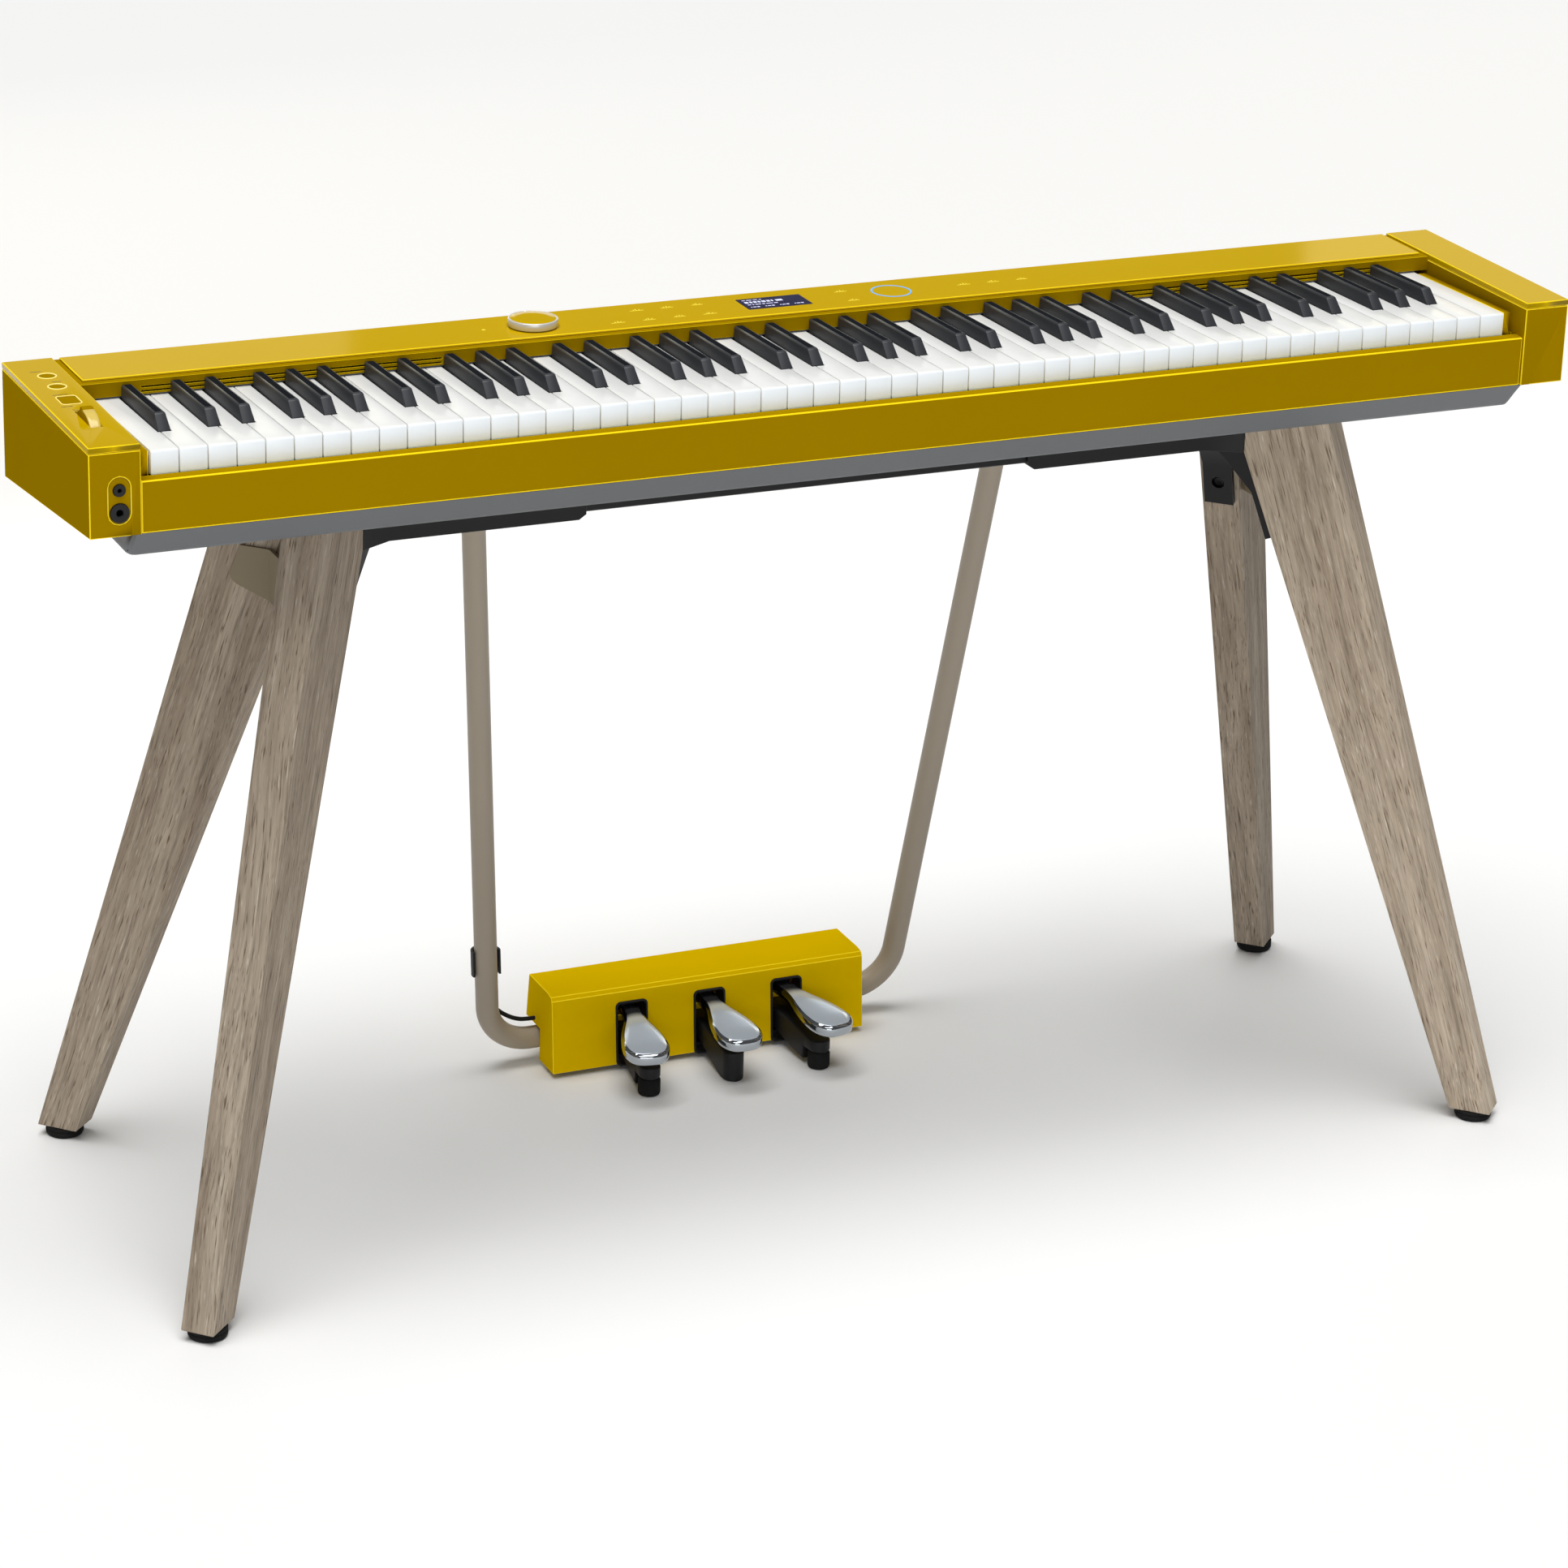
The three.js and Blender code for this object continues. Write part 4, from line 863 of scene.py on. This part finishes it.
def display():
    """A dark glass window with rows of plain blocks instead of writing."""
    refined("display_window", "screen", 0.3 * MM)
    low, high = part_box("display_window")
    left = low.x + 4 * MM
    middle = (low.y + high.y) / 2
    rows = (                                    # y, depth, then each block's start and width
        (10.6, 1.3, ((0, 3.0), (4.2, 5.0), (10.4, 4.0), (16, 2.2))),
        (4.2, 4.4, ((0, 3.4), (4.6, 2.4), (8.2, 3.0), (12.4, 2.2), (15.8, 3.6), (20.6, 3.0), (24.8, 1.6),
                    (29.0, 6.2))),
        (-2.6, 1.6, ((0, 3.2), (4.4, 1.6), (7.2, 5.2), (13.6, 2.6), (17.4, 6.0), (24.6, 3.6))))
    blocks = [(x, y, width, depth) for y, depth, row in rows for x, width in row]
    blocks += [(13.6 * k + x, -9.6, width, depth) for k in range(4)
               for x, width, depth in ((0, 1.4, 1.4), (2.2, 3.0, 1.6), (6.0, 2.4, 2.2))]
    outlines = [rectangle(left + x * MM, left + (x + width) * MM,
                          middle + (y - depth / 2) * MM, middle + (y + depth / 2) * MM)
                for x, y, width, depth in blocks]
    flat_marks("display_blocks", outlines, "screen_mark", high.z)


def make_controls():
    dial()
    refined("light_ring", "blue", 0.15 * MM, 2)
    display()
    pitch_wheel()
    round_button("power_button")
    round_button("round_button")
    square_button()
    headphone_sockets()
    touch_marks()


# ---------------------------------------------------------------- keys
PITCH = 23.6 * MM
WHITE_COUNT = 52
KEY_SLOPE = math.radians(1.44)
NOTES = "CDEFGAB"
SHARP_SHIFT = {"C": -2.4 * MM, "D": 2.4 * MM, "F": -3.6 * MM, "G": 0, "A": 3.6 * MM}
KEY_FRONT = -210 * MM
WHITE_TOP = 11.8 * MM
WHITE_THICK = 20 * MM
BLACK_FRONT = -161.5 * MM
BLACK_BACK = -61 * MM
BLACK_HALF = 5.3 * MM
BLACK_CREST_HALF = 4.55 * MM
BLACK_FOOT = -5 * MM
BLACK_TOP = WHITE_TOP + 12 * MM
BLACK_SLOPE = 13 * MM                           # how far back the sloping front face reaches
BLACK_TAIL_HALF = 4.5 * MM
BLACK_TAIL_TOP = 8 * MM
KEY_GAP = 0.45 * MM
NECK_GAP = 0.7 * MM
TAIL_END = 6.3 * MM
MIDDLE_FIRST, MIDDLE_LAST = 23, 29              # the white keys of the octave with its own joints


def note_of(index):
    return NOTES[(index + 5) % 7], (index + 5) // 7


def joint_x(index):
    return (index - WHITE_COUNT / 2) * PITCH


def black_centre(index):
    """Centre of the black key to the right of a white key, or None."""
    letter = note_of(index)[0]
    if index < 0 or index >= WHITE_COUNT - 1 or letter not in SHARP_SHIFT:
        return None
    return joint_x(index + 1) + SHARP_SHIFT[letter]


def into_place(bm):
    """From the keys' own frame, level and measured from the pivot line, to the row frame."""
    pivot = Vector(JOINTS["white_low_keys_press"]["pos_m"])
    bm.transform(Matrix.Translation(pivot) @ Matrix.Rotation(-KEY_SLOPE, 4, "X"))


def white_key(index):
    """A white key cut back beside its black neighbours, with its front in the second finish, a cool glow that is
    painted light.
    """
    left = joint_x(index) + KEY_GAP
    right = joint_x(index + 1) - KEY_GAP
    before, after = black_centre(index - 1), black_centre(index)
    clear = BLACK_HALF + NECK_GAP
    neck_left = left if before is None else before + clear
    neck_right = right if after is None else after - clear
    shoulder = BLACK_FRONT - 1 * MM
    outline = [(left, KEY_FRONT), (right, KEY_FRONT)]
    if after is not None:
        outline += [(right, shoulder), (neck_right, shoulder)]
    outline += [(neck_right, TAIL_END), (neck_left, TAIL_END)]
    if before is not None:
        outline += [(neck_left, shoulder), (left, shoulder)]
    bm = prism(outline, WHITE_TOP - WHITE_THICK, WHITE_TOP)
    lip = [e for e in bm.edges
           if all(abs(v.co.y - KEY_FRONT) < CLOSE and abs(v.co.z - WHITE_TOP) < CLOSE for v in e.verts)]
    round_edges(bm, lip, 1.9 * MM, 6)
    round_edges(bm, sharp_edges(bm), 0.45 * MM, 2)
    bm.normal_update()
    # the front faces take the second finish, a cool glow that is painted light
    for face in bm.faces:
        if face.normal.y < -0.8:
            face.material_index = 1
    into_place(bm)
    return bm


def black_key(centre):
    """A black key with its tail; the rounded crest has the second finish, a painted highlight, and the sides the
    third, painted lighter than the top as painted light.
    """
    bm = bmesh.new()
    rows = []
    for y, z, half in ((BLACK_FRONT, BLACK_FOOT, BLACK_HALF), (BLACK_FRONT + 0.2 * MM, WHITE_TOP, BLACK_HALF),
                       (BLACK_FRONT + BLACK_SLOPE, BLACK_TOP, BLACK_CREST_HALF),
                       (BLACK_BACK, BLACK_TOP - 0.6 * MM, BLACK_CREST_HALF),
                       (BLACK_BACK, BLACK_FOOT, BLACK_HALF)):
        rows.append([bm.verts.new((centre - half, y, z)), bm.verts.new((centre + half, y, z))])
    for a, b in zip(rows, rows[1:] + rows[:1]):
        bm.faces.new((a[0], a[1], b[1], b[0]))
    bm.faces.new([row[0] for row in rows])
    bm.faces.new([row[1] for row in rows][::-1])
    bmesh.ops.recalc_face_normals(bm, faces=bm.faces)
    crest = [e for e in bm.edges if all(v.co.z > WHITE_TOP + 5 * MM for v in e.verts)
             and not all(abs(v.co.y - BLACK_BACK) < CLOSE for v in e.verts)]
    # the rounded crest takes the second finish, a painted highlight
    round_edges(bm, crest, 1.7 * MM, 5, 1)
    round_edges(bm, sharp_edges(bm, 32), 0.5 * MM, 2)
    bm.normal_update()
    # the sides take the third finish, painted lighter than the top as painted light
    for face in bm.faces:
        if face.material_index == 0 and face.normal.z < 0.9:
            face.material_index = 2
    tail = rectangle(centre - BLACK_TAIL_HALF, centre + BLACK_TAIL_HALF, BLACK_BACK - 1 * MM, TAIL_END)
    prism(tail, BLACK_FOOT + 0.3 * MM, BLACK_TAIL_TOP, bm)
    into_place(bm)
    return bm


def key_home(index, black):
    """(body, CAD node) of a key."""
    color = "black" if black else "white"
    if index < MIDDLE_FIRST:
        return f"{color}_low", f"{color}_keys_low"
    if index > MIDDLE_LAST:
        return f"{color}_high", f"{color}_keys_high"
    letter, octave = note_of(index)
    name = f"key_{letter.lower()}{octave}" + ("_sharp" if black else "")
    return name, name


def make_keys():
    stands_for = {}
    for index in range(WHITE_COUNT):
        letter, octave = note_of(index)
        made = [(False, f"white_{letter.lower()}{octave}", white_key(index))]
        centre = black_centre(index)
        if centre is not None:
            made.append((True, f"black_{letter.lower()}{octave}_sharp", black_key(centre)))
        for black, name, bm in made:
            body, node = key_home(index, black)
            key = piece(name, bm, "black_key" if black else "white_key", body)
            if black:
                key.data.materials.append(PAINTS["black_key_side_painted_light"])
            stands_for.setdefault(node, []).append(key)
    for node, keys in stands_for.items():
        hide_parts(node)


# ---------------------------------------------------------------- stand
LEG_FACE = 295.5 * MM                           # from the centre to a leg's outer face, square to it
LEG_THICK = 36.8 * MM                           # at its top
LEG_INNER = {"foot": 551.2 * MM, "knee": 319.9 * MM}    # its inner edge, along the leg's own plane
LEG_FOOT_Z, LEG_KNEE_Z = 9.6 * MM, 603.5 * MM
STRAP_HOLE_Z = 547 * MM


def leg_paint(place, across, inward, painted_light_tone):
    """The oak of one leg, its grain turned to run up the leg, made lighter or darker as painted light."""
    low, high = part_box(f"{place}_leg")
    lean = Vector((-across * (high.x - low.x) * 0.7, -inward * (high.y - low.y) * 0.7, high.z - low.z))
    along = lean.normalized()
    face = Vector((across, -inward, 0)).normalized()
    side = along.cross(face).normalized()
    face = side.cross(along)
    turn = Matrix((face, side, along)).to_euler()
    shift = (0.37 * across, 0.61 * inward, 0.2 * across + 0.45 * inward)
    return oak(f"oak_{place}", tuple(turn), shift, painted_light_tone)


def bracket_bolts(side, sign):
    """The dark bolt in each strap's hole, square to the leg's inner edge."""
    drift, rise = LEG_INNER["foot"] - LEG_INNER["knee"], LEG_KNEE_Z - LEG_FOOT_Z
    lean = math.atan2(drift, rise)
    along = LEG_INNER["foot"] - (STRAP_HOLE_Z - LEG_FOOT_Z) / rise * drift
    depth = LEG_FACE - LEG_THICK / 2 + 0.5 * MM
    for place, inward in (("front", -1), ("rear", 1)):
        centre = Vector((sign * (along + depth) / math.sqrt(2), inward * (along - depth) / math.sqrt(2),
                         STRAP_HOLE_Z))
        axis = Vector((-sign * math.cos(lean), -inward * math.cos(lean), -math.sin(lean) * math.sqrt(2)))
        axis.normalize()
        bolt_head(f"{side}_{place}_strap_bolt", centre + axis * 0.8 * MM, axis, 5.6 * MM)


def leg_foot(node):
    """A rubber foot with a groove round it."""
    low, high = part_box(node)
    reach = (high.x - low.x) / 2
    profile = [(0, 0), (reach - 3.2 * MM, 0), (reach - 1.2 * MM, 0.5 * MM), (reach, 2.4 * MM),
               (reach, 5.4 * MM), (reach - 0.6 * MM, 5.8 * MM), (reach - 0.6 * MM, 6.4 * MM),
               (reach, 6.8 * MM), (reach, high.z - 0.5 * MM), (reach - 0.6 * MM, high.z), (0, high.z)]
    piece(f"{node}_pad", turned(profile, middle_of(node)), "rubber", node=node)


def make_stand():
    # the last number is painted light: each leg's oak is made lighter or darker to match how the light falls on it
    for place, across, inward, painted_light_tone in (("front_left", -1, -1, 1.04), ("rear_left", -1, 1, 1.2),
                                        ("front_right", 1, -1, 1.45), ("rear_right", 1, 1, 1.0)):
        refined(f"{place}_leg", leg_paint(place, across, inward, painted_light_tone), 1.1 * MM)
        leg_foot(f"{place}_foot")
    for side, sign in (("left", -1), ("right", 1)):
        refined(f"{side}_bracket", "steel", 1.0 * MM)
        refined(f"{side}_cover_plate", "tan", 0.6 * MM)
        bracket_bolts(side, sign)
        for i, (x, z) in enumerate(((225, 643), (300, 643), (360, 602.4))):
            bolt_head(f"{side}_arm_bolt_{i}", (sign * x * MM, 0, z * MM), (0, 0, -1), 4.6 * MM)
    refined("cross_bar", "steel", 1.0 * MM)


# ---------------------------------------------------------------- pedal unit
TUBE_LOW = Vector((201.5, 202.8, 23.5)) * MM
TUBE_HIGH = Vector((254.5, 118, 622)) * MM
TUBE_END_Y = 25.5 * MM
TUBE_RADIUS = 10.5 * MM
TUBE_BEND = 44 * MM
FRONT_WALL = 160 * MM
PEDAL_PITCH = 77.5 * MM
PEDAL_ROOT_Y = 190.5 * MM
OPENING_Y, OPENING_Z = 158.6 * MM, 34.3 * MM    # the middle of a pedal's opening
OPENING_LEAN = math.atan2(5.5, 65)              # of the cover's front wall
PEDAL_SPLAY, FIN_SPLAY = math.radians(11.1), math.radians(6.6)
PEDAL_NAMES = {-1: "left", 0: "middle", 1: "right"}


def make_tube():
    side = [Vector((TUBE_HIGH.x, TUBE_END_Y, TUBE_HIGH.z)), TUBE_HIGH, TUBE_LOW]
    corners = [Vector((-c.x, c.y, c.z)) for c in side] + side[::-1]
    tube = sweep(bent_path(corners, TUBE_BEND, 20), TUBE_RADIUS, 48)
    piece("support_tube_piece", tube, "taupe", node="support_tube")


CABLE_ROUTE = [(-155.9, 203, 42.2), (-163, 203, 42.4), (-171.5, 203, 43.5), (-182, 204.8, 47.5),
               (-193, 208.6, 55.5), (-201.5, 211.8, 66), (-207, 211.0, 86), (-209.2, 203.8, 110),
               (-218.2, 189.5, 211), (-227.1, 175.2, 312), (-236.0, 160.9, 413), (-244.0, 148.2, 503),
               (-248.9, 141.0, 560), (-251.0, 139.3, 590), (-251.9, 139.8, 612), (-252, 140, 640),
               (-252, 139.6, 664), (-252, 136.8, 677), (-252, 131.5, 685), (-252, 124.0, 688)]


def cable_plug():
    """The grip of the lead's plug in the rear of the case, and its contact inside."""
    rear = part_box("rear_deck")[1].y
    end = Vector(CABLE_ROUTE[-1]) * MM
    body = node_body("pedal_cable")
    sections = []
    for y, width, height, radius in ((0.5, 17.6, 9.6, 2.4), (2.0, 18, 10, 2.6), (13.5, 18, 10, 2.8),
                                     (15.5, 14, 8.6, 3.0), (17.0, 8.4, 7.6, 3.4), (23.0, 6.0, 6.0, 2.9)):
        outline = rounded_outline(width * MM, height * MM, radius * MM, end.x, end.z)
        sections.append([(x, rear + y * MM, z) for x, z in outline])
    grip = piece("pedal_plug", skin(sections, ends=(0, -1)), "rubber", body)
    bevelled(grip, 0.3 * MM, 2, 50)
    tip = prism(rounded_outline(11 * MM, 4 * MM, 0.8 * MM, end.x, 0), -1 * MM, 6 * MM)
    tip.transform(Matrix.Translation((0, rear, end.z)) @ Matrix.Rotation(math.pi / 2, 4, "X"))
    return grip, piece("pedal_plug_tip", tip, "silver", body)


def make_cable():
    """The pedal lead, from the pedal box up behind the left tube and into the rear of the case."""
    curve = bpy.data.curves.new("pedal_lead", "CURVE")
    curve.dimensions = "3D"
    curve.resolution_u = 8
    curve.bevel_depth = 2 * MM
    curve.bevel_resolution = 5
    curve.use_fill_caps = True
    spline = curve.splines.new("BEZIER")
    spline.bezier_points.add(len(CABLE_ROUTE) - 1)
    for point, place in zip(spline.bezier_points, CABLE_ROUTE):
        point.co = Vector(place) * MM
        point.handle_left_type = point.handle_right_type = "AUTO"
    lead = bpy.data.objects.new("pedal_lead", curve)
    bpy.context.scene.collection.objects.link(lead)
    curve.materials.append(PAINTS["rubber"])
    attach(lead, node_body("pedal_cable"))
    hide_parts("pedal_cable")
    grip, contact = cable_plug()
    cable_length(curve)


def cable_length(curve):
    """The length of the smooth line through the route's points."""
    lead = bpy.data.objects.new("measure", curve.copy())
    lead.data.bevel_depth = 0
    lead.data.use_fill_caps = False
    bpy.context.scene.collection.objects.link(lead)
    bpy.context.view_layer.update()
    line = lead.evaluated_get(bpy.context.evaluated_depsgraph_get()).to_mesh()
    ends = [(line.vertices[e.vertices[0]].co, line.vertices[e.vertices[1]].co) for e in line.edges]
    length = sum((a - b).length for a, b in ends)
    bpy.data.objects.remove(lead)
    return length


def pedal_box():
    """The folded cover of the pedals: a round ridge, soft ends, and a black liner in each opening as painted shade
    for the inside of the box.
    """
    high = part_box("pedal_box")[1]
    bm = cad_bmesh("pedal_box")
    ridge = [e for e in bm.edges if abs(e.verts[0].co.x - e.verts[1].co.x) > 200 * MM
             and max(v.co.y for v in e.verts) < 180 * MM and min(v.co.z for v in e.verts) > high.z - 12 * MM]
    ridge.sort(key=lambda e: e.verts[0].co.z)
    round_edges(bm, ridge[-1:], 5.5 * MM, 7)
    bevelled(piece("pedal_box_piece", bm, "pedal_box", node="pedal_box"), 1.6 * MM, 4, 24)
    upright = Matrix.Rotation(-OPENING_LEAN - math.pi / 2, 4, "X")
    # each black liner is painted shade: a dark sheet in the opening where the inside of the box is in shade
    for side, name in PEDAL_NAMES.items():
        bm = band(rounded_outline(31.6 * MM, 62 * MM, 5 * MM), rounded_outline(27.6 * MM, 58 * MM, 3.4 * MM),
                  -1.4 * MM, 17 * MM)
        bm.transform(Matrix.Translation((side * PEDAL_PITCH, OPENING_Y, OPENING_Z)) @ upright)
        shade_sheet = piece(f"{name}_opening_shade_sheet", bm, "black", node_body("pedal_box"))
        bevelled(shade_sheet, 0.5 * MM, 2, 40)


def tongue_outline():
    """The plan of a pedal in millimetres, anticlockwise from the root's left corner."""
    neck, tip, tip_y, root = 9.6, 21.2, 70.6, 172
    half = [(neck, root), (neck, FRONT_WALL / MM - 6)]
    half += bezier(half[-1], (neck, 136), (tip, 120), (tip, 93), 18)
    half += bezier(half[-1], (tip, 83), (tip - 4.5, tip_y + 3.2), (9.5, tip_y + 0.9), 12)
    half += bezier(half[-1], (6.3, tip_y + 0.1), (3.2, tip_y), (0, tip_y), 5)
    right = half[::-1]                          # from the toe's middle back to the root
    return [(-x, y) for x, y in half] + right[1:]


def droop_toe(bm):
    """Deepens the lip of the sole towards the toe, and bends the whole toe down a little."""
    lip_start, lip_run, lip_drop = 112 * MM, 34 * MM, 1.8 * MM
    toe_start, toe_run, toe_drop = 96 * MM, 25 * MM, 0.9 * MM
    for v in bm.verts:
        if v.co.z < 0:
            deeper = min(1.0, max(0.0, (lip_start - v.co.y) / lip_run))
            v.co.z -= lip_drop * deeper * deeper * (3 - 2 * deeper)
        v.co.z -= toe_drop * max(0.0, (toe_start - v.co.y) / toe_run) ** 2


def pedal_tongue(side):
    """A cast tongue: a narrow neck that swells to a broad toe with a rolled edge and a deep lip."""
    name = f"{PEDAL_NAMES[side]}_pedal"
    outline = [Vector(p) for p in tongue_outline()]
    normals = []
    for i in range(len(outline)):
        along = outline[(i + 1) % len(outline)] - outline[i - 1]
        normals.append(Vector((along.y, -along.x)).normalized())
    crown_foot, crown_height = 4.45, 0.75
    sections = []
    for inset, z in ((2.4, -4.6), (0.9, -4.3), (0.1, -3.4), (0.0, -0.5), (0.1, 1.7), (0.5, 2.6), (1.4, 3.5),
                     (2.9, 4.3), (3.1, crown_foot)):
        sections.append([((p.x - n.x * inset) * MM, (p.y - n.y * inset) * MM, z * MM)
                         for p, n in zip(outline, normals)])
    rim = sections[-1]
    for share in (0.7, 0.4, 0.0):
        height = (crown_foot + crown_height * (1 - share ** 2)) * MM
        sections.append([(x * share, y, height) for x, y, _ in rim])
    bm = skin(sections, ends=(0,))
    bmesh.ops.remove_doubles(bm, verts=bm.verts, dist=CLOSE)
    # the sides and sole take the chrome, with its painted dark reflection at the neck
    for face in bm.faces:
        if face.calc_center_median().z < 4.3 * MM:
            face.material_index = 1
    droop_toe(bm)
    tip_y, tip_z, tilt = 71 * MM, 47 * MM, math.radians(4)
    turn = Matrix.Translation((side * PEDAL_PITCH, FRONT_WALL, 0))
    turn = turn @ Matrix.Rotation(side * PEDAL_SPLAY, 4, "Z")
    bm.transform(turn @ Matrix.Translation((0, tip_y - FRONT_WALL, tip_z))
                 @ Matrix.Rotation(tilt, 4, "X") @ Matrix.Translation((0, -tip_y, 0)))
    piece(f"{name}_tongue", bm, "pedal_top", node=name)
    lever_plan = rounded_outline(14 * MM, 45 * MM, 1.5 * MM, side * PEDAL_PITCH, PEDAL_ROOT_Y)
    lever = prism(lever_plan, 50 * MM, 61 * MM)
    bevelled(piece(f"{name}_lever", lever, "steel", node_body(name)), 0.8 * MM, 2)


def fin_sole(side, y):
    """The height of a fin's underside, in millimetres: the middle fin stands on the floor at its nose."""
    if not side:
        return 0.1 if y < 108 else 0.1 + 16 * min(1.0, (y - 108) / 50) ** 1.2
    return 17.2 if y < 111 else 4.8 + 9 * min(1.0, (y - 111) / 49) ** 1.4


def pedal_fin(side):
    """The black stop under a pedal, with a round nose and a curved sole, in millimetres until the end."""
    nose, root, half_width = (88.7 if side else 93.5), 186.0, 10.0
    stations = [nose + half_width * (1 - math.cos(math.pi / 2 * i / 10)) for i in range(11)]
    stations += [105, 108, 110.6, 111.2, 114, 120, 128, 137, 147, 158, 164, root]
    sections = []
    for y in stations:
        ahead = min(1.0, (y - nose) / half_width)
        half = max(0.15, half_width * math.sqrt(max(0.0, 1 - (1 - ahead) ** 2)))
        top = 28 + 6 * min(1.0, (y - nose) / (FRONT_WALL / MM - nose))
        low = fin_sole(side, y)
        outline = rounded_outline(2 * half, top - low, min(1.8, half * 0.7), 0, (top + low) / 2, 4)
        sections.append([(x * MM, y * MM, z * MM) for x, z in outline])
    bm = skin(sections, ends=(0, -1))
    bm.transform(Matrix.Translation((side * PEDAL_PITCH, FRONT_WALL, 0))
                 @ Matrix.Rotation(side * FIN_SPLAY, 4, "Z") @ Matrix.Translation((0, -FRONT_WALL, 0)))
    return piece(f"{PEDAL_NAMES[side]}_fin", bm, "black", node_body("pedal_base"))


def pedal_base():
    """The plate across the pedal box, and the three fins on it."""
    fins = [pedal_fin(side) for side in PEDAL_NAMES]
    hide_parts("pedal_base")
    plate = prism(rounded_outline(300 * MM, 21.1 * MM, 2 * MM, 0, 175.95 * MM), 6 * MM, 10.5 * MM)
    bevelled(piece("pedal_base_plate", plate, "black", node_body("pedal_base")), 0.6 * MM, 2)


def adjuster(name, flutes=24, flute_depth=0.012):
    """A foot screw of the pedal box, with soft flutes round its rim."""
    centre = middle_of(name)
    low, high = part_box(name)
    reach = (high.x - low.x) / 2
    profile = [(0, 0), (reach - 2.4 * MM, 0), (reach - 0.8 * MM, 0.6 * MM), (reach, 2.2 * MM),
               (reach, high.z - 2.2 * MM), (reach - 0.9 * MM, high.z - 1.4 * MM),
               (reach - 0.9 * MM, high.z), (0, high.z)]
    bm = turned(profile, centre)
    for v in bm.verts:
        away = Vector((v.co.x - centre.x, v.co.y - centre.y))
        if away.length > reach - 0.2 * MM:
            share = flute_depth * (1 + math.cos(flutes * math.atan2(away.y, away.x)))
            v.co.x -= away.x * share
            v.co.y -= away.y * share
    piece(f"{name}_foot", bm, "rubber", node=name)


def make_pedal_unit():
    make_tube()
    pedal_box()
    pedal_base()
    for side in PEDAL_NAMES:
        pedal_tongue(side)
    adjuster("left_adjuster")
    adjuster("right_adjuster")
    refined("cable_clip", "black", 0.4 * MM)


make_camera()
make_cable()
make_studio()
make_floor()
make_case()
make_controls()
make_keys()
make_stand()
make_pedal_unit()
